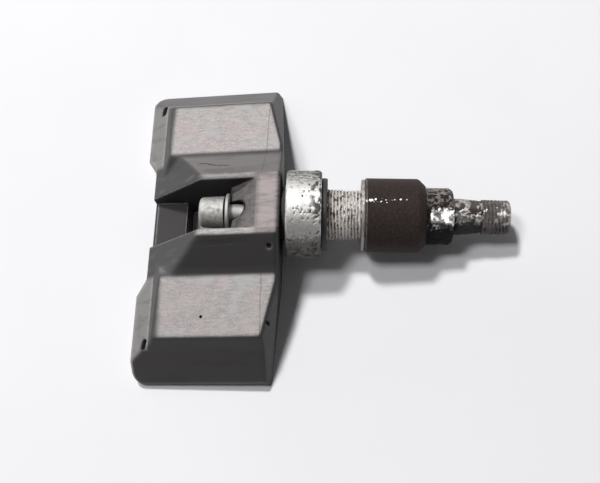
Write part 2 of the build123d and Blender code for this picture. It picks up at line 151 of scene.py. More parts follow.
def smooth_noise(points: np.ndarray, seed: int) -> np.ndarray:
    """Smooth noise on a lattice of unit cells.

    Args:
        points: Places, one row of three numbers each.
        seed: Number that picks the pattern.

    Returns:
        One value from 0 to 1 for each place.
    """
    cell = np.floor(points).astype(np.int64)
    part = ease(points - cell, 0.0, 1.0)
    total = np.zeros(len(points))
    for corner in product((0, 1), repeat=3):
        offset = np.array(corner)
        key = (cell + offset) @ LATTICE_KEYS + seed * SEED_KEY
        for shift, factor in SCRAMBLES:
            key = (key ^ (key >> shift)) * factor & TOP_KEY
        weight = np.prod(np.where(offset == 1, part, 1.0 - part), axis=1)
        total += weight * (key ^ (key >> LAST_SHIFT)) / TOP_KEY
    return total


def layered_noise(points: np.ndarray, grain: Grain) -> np.ndarray:
    """Noise of halving sizes added up.

    Args:
        points: Places in millimetres.
        grain: Size, layers and seed.

    Returns:
        One value from 0 to 1 for each place.
    """
    total = np.zeros(len(points))
    weight = 0.0
    for layer in range(grain.layers):
        share = 0.5**layer
        total += share * smooth_noise(points / (grain.size * share), grain.seed + layer)
        weight += share
    return total / weight


def lay(masks: Masks, zone: np.ndarray, **amounts: np.ndarray | float) -> None:
    """Add to painted masks inside a zone.

    Args:
        masks: Masks by name, one value for each vertex.
        zone: Where to add.
        amounts: What to add to each mask.
    """
    for name, amount in amounts.items():
        masks[name] += np.where(zone, amount, 0.0)


def deselect_all() -> None:
    """Leave edit mode and let go of every object."""
    if bpy.context.object and bpy.context.object.mode != "OBJECT":
        bpy.ops.object.mode_set(mode="OBJECT")
    bpy.ops.object.select_all(action="DESELECT")


def pick(piece: Piece) -> None:
    """Make one object the selected and active one."""
    deselect_all()
    piece.select_set(True)
    bpy.context.view_layer.objects.active = piece


@dataclass(frozen=True)
class StemFrame:
    """The leaning axis that the stem, nut and screw are turned about."""

    start: Point = (4.481, 0.0, 11.75)
    slope_deg: float = 5.5

    def matrix(self) -> Matrix:
        """Placement of millimetre sizes about the axis in the shared frame."""
        lean = Matrix.Rotation(math.radians(self.slope_deg), 4, "Y")
        return Matrix.Translation(Vector(self.start) * MM) @ lean @ Matrix.Scale(MM, 4)


class TurnedMesh:
    """A piece spun about the stem's axis, read as stations, angles and radii."""

    def __init__(self, name: str, profile: Sequence[Station], steps: int) -> None:
        """Draw the closed profile point by point and spin it.

        Args:
            name: Name of the new object.
            profile: Corners of the closed profile, in order.
            steps: Number of steps round the axis.
        """
        deselect_all()
        first = profile[0]
        bpy.ops.mesh.primitive_plane_add(size=1.0, location=(first.along, 0.0, first.radius))
        self.piece = bpy.context.object
        self.piece.name = name
        self.piece.data.name = name
        bpy.ops.object.transform_apply(location=True, rotation=True, scale=True)
        bpy.ops.object.mode_set(mode="EDIT")
        bpy.ops.mesh.merge(type="CENTER")
        for here, there in zip(profile, profile[1:]):
            step = ((there.along - here.along) / there.parts, 0.0,
                    (there.radius - here.radius) / there.parts)
            for _ in range(there.parts):
                bpy.ops.mesh.extrude_vertices_move(TRANSFORM_OT_translate={"value": step})
        bpy.ops.object.mode_set(mode="OBJECT")
        for vertex in self.piece.data.vertices:
            vertex.select = vertex.index in (0, len(self.piece.data.vertices) - 1)
        bpy.ops.object.mode_set(mode="EDIT")
        bpy.ops.mesh.edge_face_add()
        bpy.ops.mesh.select_all(action="SELECT")
        bpy.ops.mesh.spin(steps=steps, angle=FULL_TURN, center=(0, 0, 0), axis=(1, 0, 0))
        bpy.ops.mesh.select_all(action="SELECT")
        bpy.ops.mesh.remove_doubles(threshold=WELD_MM)
        bpy.ops.mesh.normals_make_consistent(inside=False)
        bpy.ops.object.mode_set(mode="OBJECT")
        places = np.empty(len(self.piece.data.vertices) * 3)
        self.piece.data.vertices.foreach_get("co", places)
        self.points = places.reshape(-1, 3)
        self.along = self.points[:, 0].copy()
        self.angle = np.arctan2(self.points[:, 1], self.points[:, 2])
        self.radius = np.hypot(self.points[:, 1], self.points[:, 2])
        self.first_radius = self.radius.copy()

    def between(self, start: float, end: float, inner: float = 0.0) -> np.ndarray:
        """Mask of the vertices between two stations and outside a radius."""
        return (self.along >= start) & (self.along <= end) & (self.first_radius >= inner)

    def noise(self, grain: Grain) -> np.ndarray:
        """Layered noise at every vertex of the unshaped piece."""
        return layered_noise(self.points, grain)

    def patches(self, patches: Patches) -> np.ndarray:
        """Soft patches at every vertex of the unshaped piece."""
        return ease(self.noise(Grain(*patches[:3])), patches.low, patches.high)

    def streaks(self, length: float, width: float, patches: Patches) -> np.ndarray:
        """Patches drawn out along the axis, from cells of a length and a width."""
        round_axis = self.angle * self.first_radius / width
        cells = np.stack((self.along / length, round_axis, self.first_radius), axis=1)
        return ease(layered_noise(cells, Grain(*patches[:3])), patches.low, patches.high)

    def angle_from(self, degrees: float) -> np.ndarray:
        """Angle from a direction round the axis, in degrees from -180 to 180."""
        return np.mod(np.degrees(self.angle) - degrees + 180.0, 360.0) - 180.0

    def facing(self, degrees: float, half_width: float) -> np.ndarray:
        """Soft mask of one side of the piece, by the angle round the axis."""
        return np.exp(-((self.angle_from(degrees) / half_width) ** 2))

    def shaded_underside(self, start: float, end: float) -> np.ndarray:
        """Soft mask of the near side's lower part, growing between two angles, where shade is painted."""
        return ease(-self.angle_from(0.0), start, end) * (self.angle < 0.0)

    def thread(self, pitch: float, wander: np.ndarray) -> np.ndarray:
        """Height of a worn right-hand thread at every vertex.

        Args:
            pitch: Distance from crest to crest.
            wander: Shift of the crest along the axis, for each vertex.

        Returns:
            One value from 0 in the groove to 1 on the crest, for each vertex.
        """
        phase = np.mod((self.along + wander) / pitch + self.angle / FULL_TURN, 1.0)
        return np.clip(CREST_GAIN * (1.0 - np.abs(2.0 * phase - 1.0)) - CREST_CUT, 0.0, 1.0)

    def pits(self, spots: Sequence[Point]) -> np.ndarray:
        """Mask of round pits on the outside.

        Args:
            spots: Station, angle in degrees and radius of each spot.

        Returns:
            One value from 0 outside to 1 in the middle of a spot, for each vertex.
        """
        mask = np.zeros(len(self.along))
        for along, degrees, size in spots:
            across = np.radians(self.angle_from(degrees)) * self.first_radius
            far = np.hypot(self.along - along, across) / size
            mask = np.maximum(mask, 1.0 - ease(far, PIT_FLOOR, 1.0))
        return mask

    def paint(self, masks: Masks) -> None:
        """Keep one value from 0 to 1 for each vertex as attributes that the material reads."""
        for name, values in masks.items():
            layer = self.piece.data.attributes.new(name, "FLOAT", "POINT")
            layer.data.foreach_set("value", np.clip(values, 0.0, 1.0).astype(np.float32))

    def finish(self, smooth_deg: float) -> Piece:
        """Write the shaped vertices back and place the piece in the shared frame.

        Args:
            smooth_deg: Edges flatter than this are shaded smooth.

        Returns:
            The finished object.
        """
        across, up = self.radius * np.sin(self.angle), self.radius * np.cos(self.angle)
        shaped = np.stack((self.along, across, up), axis=1)
        self.piece.data.vertices.foreach_set("co", shaped.ravel())
        self.piece.data.transform(StemFrame().matrix())
        self.piece.data.update()
        pick(self.piece)
        bpy.ops.object.shade_smooth_by_angle(angle=math.radians(smooth_deg))
        return self.piece


class Wiring:
    """Hands that add and join the nodes of one tree."""

    def __init__(self, tree: Tree) -> None:
        """Take the tree to work on."""
        self.tree = tree

    def feed(self, node: bpy.types.Node, inputs: dict[str | int, Value]) -> None:
        """Set or join a node's inputs.

        Args:
            node: Node to feed.
            inputs: Values or sockets, by the input's name or index.
        """
        for name, value in inputs.items():
            if isinstance(value, Socket):
                self.tree.links.new(value, node.inputs[name])
            else:
                node.inputs[name].default_value = value

    def add(self, kind: str, inputs: dict[str | int, Value] | None = None,
            **settings: object) -> bpy.types.Node:
        """Add a shader node.

        Args:
            kind: Node type without its common prefix.
            inputs: Values or sockets for the node's inputs, by name or index.
            settings: Other properties of the node.

        Returns:
            The new node.
        """
        node = self.tree.nodes.new("ShaderNode" + kind)
        for name, value in settings.items():
            setattr(node, name, value)
        self.feed(node, inputs or {})
        return node

    def effect(self, tree: Tree, **values: float) -> Outputs:
        """Outputs of a shared group, placed with its own values."""
        return self.add("Group", values, node_tree=tree).outputs

    def math(self, operation: str, *values: Value) -> Socket:
        """Result of a Math node on values or sockets."""
        return self.add("Math", dict(enumerate(values)), operation=operation).outputs[0]

    def times(self, *values: Value) -> Socket:
        """Product of two or more values."""
        return reduce(lambda one, other: self.math("MULTIPLY", one, other), values)

    def vector(self, operation: str, one: Value, other: Value, output: str | int = 0) -> Socket:
        """Result of a Vector Math node."""
        return self.add("VectorMath", {0: one, 1: other}, operation=operation).outputs[output]

    def ramp(self, value: Value, low: float, high: float, start: float = 0.0,
             end: float = 1.0) -> Socket:
        """A soft step of a value from start at low to end at high."""
        inputs = {"Value": value, "From Min": low, "From Max": high, "To Min": start, "To Max": end}
        return self.add("MapRange", inputs, interpolation_type="SMOOTHSTEP").outputs[0]

    def blend(self, share: Value, low: Value, high: Value) -> Socket:
        """Mix of two colours."""
        return self.add("Mix", {0: share, 6: low, 7: high}, data_type="RGBA").outputs[2]

    def places(self) -> Socket:
        """Object coordinates in millimetres."""
        where = self.add("TexCoord").outputs["Object"]
        return self.add("VectorMath", {0: where, "Scale": 1.0 / MM}, operation="SCALE").outputs[0]

    def axes(self, vector: Socket) -> Outputs:
        """The three parts of a vector."""
        return self.add("SeparateXYZ", {0: vector}).outputs

    def noise(self, where: Socket, scale: Value, detail: float = 4.0,
              roughness: float = 0.55) -> Socket:
        """Value of a noise texture with a scale per millimetre."""
        inputs = {"Vector": where, "Scale": scale, "Detail": detail, "Roughness": roughness}
        return self.add("TexNoise", inputs).outputs[0]

    def attribute(self, name: str) -> Socket:
        """Value that was painted on the piece."""
        return self.add("Attribute", attribute_name=name).outputs["Fac"]

    def bump(self, height: Value, strength: float, depth_mm: float, **inputs: Value) -> Socket:
        """Normal from a height of a given depth."""
        inputs |= {"Height": height, "Strength": strength, "Distance": depth_mm * MM}
        return self.add("Bump", inputs).outputs[0]


class SharedEffects:
    """Node groups that more than one finish uses, each built once."""

    def __init__(self) -> None:
        """Build every group."""
        self.grain = self._grain()
        self.specks = self._specks()
        self.edge_wear = self._edge_wear()

    @staticmethod
    def _group(name: str, inputs: dict[str, float]) -> tuple[Wiring, Outputs]:
        """Group with value inputs, and the sockets that they come in by."""
        tree = bpy.data.node_groups.new(name, "ShaderNodeTree")
        for label, value in inputs.items():
            socket = tree.interface.new_socket(label, in_out="INPUT", socket_type="NodeSocketFloat")
            socket.default_value = value
        return Wiring(tree), tree.nodes.new("NodeGroupInput").outputs

    @staticmethod
    def _put_out(group: Wiring, results: dict[str, Socket]) -> Tree:
        """Give a group its value outputs."""
        for label in results:
            group.tree.interface.new_socket(label, in_out="OUTPUT", socket_type="NodeSocketFloat")
        group.feed(group.tree.nodes.new("NodeGroupOutput"), results)
        return group.tree

    def _grain(self) -> Tree:
        """Fine surface grain: a mottle for colour and a height for bump."""
        group, given = self._group("surface_grain", {"Scale": 2.0})
        where = group.places()
        mottle = group.noise(where, given["Scale"], 6.0, 0.65)
        height = group.noise(where, group.times(given["Scale"], 3.0), 3.0, 0.6)
        return self._put_out(group, {"Mottle": mottle, "Height": height})

    def _specks(self) -> Tree:
        """Scattered small spots; a larger share covers more of the surface."""
        group, given = self._group("scattered_specks", {"Scale": 2.0, "Share": 0.3})
        spots = group.noise(group.places(), given["Scale"], 2.0, 0.5)
        level = group.math("SUBTRACT", 0.85, group.times(given["Share"], 0.5))
        mask = group.ramp(group.math("SUBTRACT", spots, level), 0.0, 0.06)
        return self._put_out(group, {"Mask": mask})

    def _edge_wear(self) -> Tree:
        """Mask along edges, from a rounded normal set against the surface's own."""
        group, given = self._group("edge_wear", {"Radius": 0.6, "Scale": 1.2})
        rounded = group.add("Bevel", {"Radius": group.times(given["Radius"], MM)}, samples=6)
        own = group.add("NewGeometry").outputs["Normal"]
        alike = group.vector("DOT_PRODUCT", rounded.outputs[0], own, "Value")
        bent = group.ramp(group.math("SUBTRACT", 1.0, alike), 0.004, 0.06)
        broken = group.noise(group.places(), given["Scale"], 4.0, 0.6)
        return self._put_out(group, {"Mask": group.times(bent, group.ramp(broken, 0.3, 0.55, 0.25, 1.0))})


EFFECTS = SharedEffects()
BUILT: dict[str, bpy.types.Material] = {}


@dataclass(frozen=True)
class Finish:
    """A finish with its own node wiring; the sub-classes fill in the looks."""

    name: str

    def material(self) -> bpy.types.Material:
        """The finish as a material, built at its first use."""
        if self.name not in BUILT:
            made = bpy.data.materials.new(self.name)
            made.use_nodes = True
            wiring = Wiring(made.node_tree)
            wiring.feed(made.node_tree.nodes["Principled BSDF"], self.looks(wiring))
            BUILT[self.name] = made
        return BUILT[self.name]

    def looks(self, wiring: Wiring) -> dict[str, Value]:
        """What goes into the shader's inputs."""
        raise NotImplementedError

    def dress(self, piece: Piece) -> None:
        """Give the finish to every face of a piece."""
        piece.data.materials.clear()
        piece.data.materials.append(self.material())


class Surface(Wiring):
    """Hands on the housing's tree that hold its place, softened normal, zones and grain."""

    def __init__(self, tree: Tree, looks: "HousingPlastic") -> None:
        """Read the surface; its normal is rounded most between the saddle and the wings.

        Args:
            tree: The material's tree.
            looks: Finish that gives the sizes.
        """
        super().__init__(tree)
        self.where = self.places()
        self.x, self.y, self.z = self.axes(self.where)
        self.side = self.math("ABSOLUTE", self.y)
        valley = self.times(self.ramp(self.side, *looks.valley_inner),
                            self.ramp(self.side, *looks.valley_outer),
                            self.ramp(self.x, *looks.valley_front))
        radius = self.ramp(valley, 0.0, 1.0, looks.soft_edge, looks.soft_valley)
        near_port = self.ramp(self.away(looks.port), *looks.port_reach)
        radius = self.times(self.math("MINIMUM", radius, near_port), MM)
        self.soft = self.add("Bevel", {"Radius": radius}, samples=8).outputs[0]
        self.face_x, self.face_y, self.face_z = self.axes(self.soft)
        self.drawn = self.vector("MULTIPLY", self.where, looks.drawn_out)
        self.on_wing = self.ramp(self.side, *looks.wing)
        self.upward = self.ramp(self.face_z, 0.88, 0.985)
        self.grain = self.effect(EFFECTS.grain, Scale=2.6)

    def away(self, point: Point) -> Socket:
        """Distance from a point, seen in plan."""
        plan = self.vector("MULTIPLY", self.where, (1.0, 1.0, 0.0))
        return self.vector("DISTANCE", plan, point, "Value")

    def sway(self, scale: float, width: float) -> Socket:
        """Slow sideways sway of a line in millimetres."""
        return self.times(self.math("SUBTRACT", self.noise(self.where, scale, 2.0), 0.5), width)

    def line(self, value: Socket, middle: float, half: float) -> Socket:
        """Mask of a thin line where a value is near its middle."""
        return self.ramp(self.math("ABSOLUTE", self.math("SUBTRACT", value, middle)), half, half * 0.4)

    def stroke(self, across: Socket, stroke: Stroke) -> Socket:
        """Mask of a thin line that fades out at its two ends."""
        return self.times(self.line(across, stroke.middle, stroke.half),
                          self.ramp(self.x, stroke.start, stroke.start + 1.5),
                          self.ramp(self.x, stroke.end, stroke.end - 1.5))


@dataclass(frozen=True)
class HousingPlastic(Finish):
    """Dark moulded plastic: rubbed flat tops with a painted sheen, slopes painted lighter or darker by how
    they face the lamps, rims lighter by wear and painted highlight, and a pocket with painted shade on its
    walls and a darker floor.
    """

    body: Colour = rgb(0.043, 0.040, 0.040)
    lit_far_slope: Colour = rgb(0.100, 0.093, 0.092)
    lit_far_saddle: Colour = rgb(0.155, 0.144, 0.142)
    shaded: Colour = rgb(0.024, 0.022, 0.022)
    lit_back_slope: Colour = rgb(0.265, 0.251, 0.248)
    back_step: Colour = rgb(0.043, 0.040, 0.039)
    saddle_ramp: Colour = rgb(0.027, 0.025, 0.025)
    rubbed_top_and_sheen: Colour = rgb(0.585, 0.540, 0.531)
    tan_trace: Colour = rgb(0.49, 0.40, 0.383)
    cool_trace: Colour = rgb(0.42, 0.412, 0.42)
    smudge_light: Colour = rgb(0.16, 0.15, 0.148)
    pink_top: Colour = rgb(0.375, 0.308, 0.303)
    bracket_slope: Colour = rgb(0.195, 0.177, 0.174)
    rim_wear_and_highlight: Colour = rgb(0.39, 0.363, 0.357)
    near_rim_wear_and_highlight: Colour = rgb(0.66, 0.62, 0.60)
    pocket_wall_shade: Colour = rgb(0.010, 0.009, 0.009)
    pocket_floor: Colour = rgb(0.056, 0.052, 0.052)
    line_dark: Colour = rgb(0.018, 0.016, 0.016)
    specular: float = 0.36
    soft_edge: float = 1.25
    soft_valley: float = 1.9
    port: Point = (-12.6, -24.4, 0.0)
    port_reach: Step = Step(1.0, 2.0, 0.25, 3.0)
    valley_inner: Step = Step(7.6, 9.2)
    valley_outer: Step = Step(18.0, 16.0)
    valley_front: Step = Step(-9.0, -13.0)
    wing: Step = Step(13.2, 14.8)
    plateau_inner: Step = Step(14.8, 16.0)
    plateau_outer: Step = Step(29.4, 27.9, 0.25, 1.0)
    plateau_back: float = -22.5
    step_foot: float = -24.9
    near_top_shade: Step = Step(-15.0, 15.0, 0.86, 1.0)
    drawn_out: Point = (0.35, 1.6, 1.0)
    pocket_half: float = 6.0
    pocket_top: Step = Step(18.2, 17.4)
    rim_outer: Step = Step(7.7, 7.1)
    rim_back: Step = Step(-14.4, -12.4)
    edge_share: Step = Step(7.6, 6.9, 0.13, 0.8)
    bracket_back: float = -7.0
    bracket_crest: float = -0.3
    bracket_sides: Step = Step(8.2, 6.8)
    parting_x: float = 0.75
    parting_half: float = 0.17
    parting_inner: Step = Step(7.3, 7.8)
    scratch: Stroke = Stroke(10.7, 0.22, -15.5, -6.5)
    scratch_lean: tuple[float, float] = (11.0, 0.14)
    under_rim_line: Stroke = Stroke(-8.9, 0.8, -15.5, -1.5)
    holes: tuple[Point, ...] = (
        (-26.0, 30.2, 0.78), (-26.12, 29.6, 0.8), (-26.25, 29.0, 0.78),
        (-25.9, -29.1, 0.78), (-26.02, -29.65, 0.8), (-26.15, -30.2, 0.78),
        (2.8, -9.85, 0.62), (2.2, -25.7, 0.5))

    def looks(self, wiring: Wiring) -> dict[str, Value]:
        """Tones by facing and place, with painted light and shade, then rims, lines and grain."""
        at = Surface(wiring.tree, self)
        times, ramp, blend = at.times, at.ramp, at.blend
        mottle = ramp(at.grain["Mottle"], 0.3, 0.72, 0.66, 1.0)
        colour = self._smudges(at, self._slopes(at))
        streak = ramp(at.noise(at.drawn, 1.4, 6.0, 0.75), 0.32, 0.68, 0.6, 1.0)
        # Flat tops are lightened by rubbed wear and a painted sheen; the near wing's top is dimmer as
        # painted shade.
        colour = self._tops(at, times(mottle, streak, ramp(at.y, *self.near_top_shade)), colour)
        patchy = ramp(at.noise(at.drawn, 0.7, 6.0, 0.72), 0.36, 0.62, 0.45, 1.0)
        colour = self._saddle(at, times(mottle, patchy), colour)
        pocket, holes, lines = self._pocket(at), self._holes(at), self._lines(at)
        # The pocket's walls are painted dark as shade, its floor a darker tone.
        wall_shade_and_floor = blend(ramp(at.face_z, 0.4, 0.8), self.pocket_wall_shade, self.pocket_floor)
        colour = blend(pocket, colour, wall_shade_and_floor)
        # Light along the edges is partly wear and partly painted highlight.
        edges = at.effect(EFFECTS.edge_wear, Radius=0.6, Scale=0.9)["Mask"]
        edges = times(edges, ramp(at.side, *self.edge_share), ramp(at.face_z, 0.3, 0.75))
        colour = blend(edges, colour, self.rim_wear_and_highlight)
        # Vents and dents are painted dark as shade.
        colour = blend(holes, colour, self.pocket_wall_shade)
        specks = times(at.effect(EFFECTS.specks, Scale=1.9, Share=0.28)["Mask"], at.upward, 0.45)
        colour = blend(at.math("MAXIMUM", lines, specks), colour, self.line_dark)
        dull = times(at.math("MAXIMUM", pocket, holes), 0.4)
        rough = at.math("ADD", ramp(at.grain["Mottle"], 0.3, 0.7, 0.42, 0.54), dull)
        height = at.math("SUBTRACT", at.grain["Height"], times(lines, 2.0))
        return {"Base Color": colour, "Roughness": rough, "Specular IOR Level": self.specular,
                "Normal": at.bump(height, 0.35, 0.05, Normal=at.soft)}

    def _slopes(self, at: Surface) -> Socket:
        """Tones of the slopes by the way they face: painted light on slopes that face the lamps, painted
        shade on those that face away, darker saddle ramps and a plain tone on the wings' back step.
        """
        times, ramp, blend = at.times, at.ramp, at.blend
        inward = at.math("SUBTRACT", 1.0, at.on_wing)
        # Far slopes face the lamps and are painted lighter as light, the saddle's far slopes the most.
        far = blend(at.on_wing, self.lit_far_saddle, self.lit_far_slope)
        colour = blend(ramp(at.face_y, 0.15, 0.5), self.body, far)
        # Near slopes and faces towards +x face away from the lamps and are painted darker as shade.
        near = times(inward, ramp(at.face_y, -0.15, -0.5))
        colour = blend(at.math("MAXIMUM", near, ramp(at.face_x, 0.4, 0.7)), colour, self.shaded)
        colour = blend(times(inward, ramp(at.face_x, -0.25, -0.5)), colour, self.saddle_ramp)
        rear = times(at.on_wing, ramp(at.x, self.plateau_back + 0.2, self.plateau_back - 0.7),
                     ramp(at.math("ABSOLUTE", at.face_y), 0.5, 0.3), ramp(at.face_z, 0.2, 0.4))
        colour = blend(rear, colour, self.back_step)
        # The wings' back slopes face the lamps and are painted lighter as light.
        behind = times(at.on_wing, ramp(at.face_x, -0.25, -0.5),
                       ramp(at.x, self.step_foot + 0.3, self.step_foot - 0.3))
        return blend(behind, colour, self.lit_back_slope)

    def _smudges(self, at: Surface, colour: Socket) -> Socket:
        """Dark and wiped smudges over a colour, and a darker band in the rounding below the flat tops."""
        times, ramp, blend = at.times, at.ramp, at.blend
        smudge = at.noise(at.drawn, 0.24, 5.0, 0.62)
        colour = blend(ramp(smudge, 0.52, 0.34, 0.0, 0.36), colour, self.shaded)
        wiped = times(ramp(smudge, 0.54, 0.74, 0.0, 0.36), ramp(at.face_y, -0.3, 0.1))
        colour = blend(wiped, colour, self.smudge_light)
        below_top_band = times(ramp(at.face_z, 0.74, 0.84), ramp(at.face_z, 0.98, 0.9), at.on_wing, 0.6)
        return blend(below_top_band, colour, self.shaded)

    def _tops(self, at: Surface, rubbed: Socket, colour: Socket) -> Socket:
        """Flat tops of the wings over a colour: rubbed wear and a painted sheen that lighten them, with
        warm and cool traces.
        """
        times, ramp = at.times, at.ramp
        inside = times(ramp(at.side, *self.plateau_inner), ramp(at.side, *self.plateau_outer))
        before = ramp(at.x, self.plateau_back - 0.6, self.plateau_back + 0.9)
        plateau = times(at.upward, inside, before)
        broad = at.noise(at.where, 0.16, 3.0, 0.6)
        trace = times(ramp(broad, 0.46, 0.62), ramp(at.grain["Mottle"], 0.42, 0.62, 0.15, 0.65))
        cool = times(ramp(broad, 0.47, 0.36), 0.5)
        for share, tone in ((rubbed, self.rubbed_top_and_sheen), (trace, self.tan_trace), (cool, self.cool_trace)):
            colour = at.blend(times(plateau, share), colour, tone)
        return colour

    def _saddle(self, at: Surface, mottle: Socket, colour: Socket) -> Socket:
        """Rims beside the pocket, lighter by wear and painted highlight and brightest on the near side,
        the bracket's grey slope and reddish top, over a colour.
        """
        times, ramp = at.times, at.ramp
        crest, half = self.bracket_crest, self.pocket_half
        rim = times(ramp(at.side, *self.rim_outer), ramp(at.face_z, 0.5, 0.85), ramp(at.x, *self.rim_back),
                    ramp(at.side, half - 0.25, half), ramp(at.x, crest + 1.5, crest - 1.5))
        # Rims are lighter by wear and painted highlight, the near rim the brightest.
        light = at.blend(ramp(at.y, 1.0, -1.0), self.rim_wear_and_highlight, self.near_rim_wear_and_highlight)
        slope = times(ramp(at.side, half + 0.1, half - 0.1), ramp(at.face_z, 0.35, 0.6),
                      ramp(at.x, self.bracket_back - 0.3, self.bracket_back + 0.3))
        top = times(ramp(at.face_z, 0.85, 0.97), ramp(at.side, *self.bracket_sides),
                    ramp(at.x, crest - 0.4, crest + 1.2))
        for share, tone in ((rim, light), (slope, self.bracket_slope), (top, self.pink_top)):
            colour = at.blend(times(share, mottle), colour, tone)
        return colour

    def _pocket(self, at: Surface) -> Socket:
        """Mask of the screw's pocket, with painted shade on its walls and a darker floor."""
        inner = at.ramp(at.side, self.pocket_half + 0.3, self.pocket_half + 0.05)
        behind = at.ramp(at.x, self.bracket_back + 0.3, self.bracket_back - 0.3)
        wall = at.ramp(at.math("ABSOLUTE", at.face_y), 0.6, 0.85)
        return at.times(inner, at.math("MAXIMUM", behind, wall), at.ramp(at.z, *self.pocket_top), 0.9)

    def _holes(self, at: Surface) -> Socket:
        """Mask of the shade inside the vents and dents, seen in plan."""
        mask = 0.0
        for along, across, half in self.holes:
            mask = at.math("MAXIMUM", mask, at.ramp(at.away((along, across, 0.0)), half, half * 0.7))
        return mask

    def _lines(self, at: Surface) -> Socket:
        """Mask of the parting line, a scratch and a dark line below the near rim."""
        times, ramp = at.times, at.ramp
        groove = at.line(at.math("ADD", at.x, at.sway(0.45, 0.6)), self.parting_x, self.parting_half)
        groove = times(groove, ramp(at.side, *self.parting_inner), ramp(at.face_z, 0.6, 0.9), 0.42)
        sway = at.sway(0.3, 2.0)
        shift, lean = self.scratch_lean
        leaning = times(at.math("ADD", at.x, shift), lean)
        scratch = at.stroke(at.math("ADD", at.math("ADD", at.y, sway), leaning), self.scratch)
        under_rim_line = at.stroke(at.math("ADD", at.y, times(sway, 0.5)), self.under_rim_line)
        under_rim_line = times(under_rim_line, ramp(at.noise(at.where, 0.5, 3.0), 0.32, 0.58, 0.35, 1.0))
        return at.math("MAXIMUM", groove, at.math("MAXIMUM", scratch, under_rim_line))


@dataclass(frozen=True)
class WeatheredMetal(Finish):
    """Bare metal with painted masks of pits, rust, pale salt crust and soiling; the dark masks also carry
    painted shade.
    """

    bare: Colour = rgb(0.50, 0.491, 0.474)
    tarnish: Colour = rgb(0.34, 0.327, 0.31)
    rust: Colour = rgb(0.060, 0.040, 0.030)
    salt: Colour = rgb(0.70, 0.645, 0.605)
    grime: Colour = rgb(0.165, 0.156, 0.149)
    pit: Colour = rgb(0.016, 0.014, 0.013)
    roughness: float = 0.5
    crust_roughness: float = 0.85
    mottle_scale: float = 1.6
    specular: float = 0.3

    def looks(self, wiring: Wiring) -> dict[str, Value]:
        """Mix the crusts over the metal by their painted masks."""
        times, ramp, blend = wiring.times, wiring.ramp, wiring.blend
        grain = wiring.effect(EFFECTS.grain, Scale=self.mottle_scale)
        mottle = grain["Mottle"]
        broken = ramp(mottle, 0.35, 0.65, -0.25, 0.25)
        rust = ramp(wiring.math("ADD", wiring.attribute("rust"), broken), 0.35, 0.65)
        salt = ramp(wiring.math("ADD", wiring.attribute("salt"), broken), 0.4, 0.7)
        grime = ramp(wiring.math("ADD", wiring.attribute("grime"), times(broken, 0.6)), 0.1, 0.95)
        specks = wiring.effect(EFFECTS.specks, Scale=2.4, Share=0.3)["Mask"]
        pit = wiring.math("MAXIMUM", wiring.attribute("pit"), times(specks, 0.55))
        colour = blend(ramp(mottle, 0.4, 0.75, 0.0, 0.7), self.bare, self.tarnish)
        # The soiling and dark-spot masks also carry painted shade: lower near sides, the screw's groove
        # and the stem's foot.
        for share, tone in ((salt, self.salt), (rust, self.rust), (times(grime, 0.92), self.grime),
                            (pit, self.pit)):
            colour = blend(share, colour, tone)
        crust = wiring.math("MAXIMUM", wiring.math("MAXIMUM", rust, pit), times(salt, 0.75))
        crust = wiring.math("MAXIMUM", crust, times(grime, 0.6))
        rough = ramp(wiring.math("ADD", crust, times(mottle, 0.4)), 0.1, 1.2,
                     self.roughness, self.crust_roughness)
        height = wiring.math("ADD", grain["Height"], times(specks, -1.2))
        return {"Base Color": colour, "Metallic": wiring.math("SUBTRACT", 1.0, crust),
                "Roughness": rough, "Specular IOR Level": self.specular,
                "Normal": wiring.bump(height, 0.5, 0.05)}


@dataclass(frozen=True)
class NutCoat(Finish):
    """Dark brown-black coating, rubbed through to silver on the hexagon."""

    coat: Colour = rgb(0.030, 0.0215, 0.019)
    dull: Colour = rgb(0.047, 0.037, 0.034)
    bare: Colour = rgb(0.76, 0.752, 0.735)
    crust: Colour = rgb(0.29, 0.267, 0.245)
    pit: Colour = rgb(0.008, 0.007, 0.007)
    specular: float = 0.06

    def looks(self, wiring: Wiring) -> dict[str, Value]:
        """Coat, crust, rubbed metal and pits by their painted masks."""
        times, ramp = wiring.times, wiring.ramp
        grain = wiring.effect(EFFECTS.grain, Scale=1.8)
        mottle = grain["Mottle"]
        broken = ramp(mottle, 0.3, 0.7, -0.3, 0.3)
        worn = ramp(wiring.math("ADD", wiring.attribute("worn"), broken), 0.42, 0.62)
        edge = wiring.effect(EFFECTS.edge_wear, Radius=0.35, Scale=1.0)["Mask"]
        worn = wiring.math("MAXIMUM", worn, times(edge, 0.35))
        crust = ramp(wiring.math("ADD", wiring.attribute("crust"), broken), 0.3, 0.7)
        colour = wiring.blend(ramp(mottle, 0.35, 0.7), self.coat, self.dull)
        # The dark-spot mask also carries painted shade below the hexagon.
        for share, tone in ((crust, self.crust), (worn, self.bare), (wiring.attribute("pit"), self.pit)):
            colour = wiring.blend(share, colour, tone)
        rough = wiring.math("SUBTRACT", ramp(mottle, 0.3, 0.7, 0.5, 0.64), times(worn, 0.16))
        height = wiring.math("ADD", grain["Height"], worn)
        return {"Base Color": colour, "Metallic": times(worn, 0.9), "Roughness": rough,
                "Specular IOR Level": self.specular, "Normal": wiring.bump(height, 0.3, 0.04)}


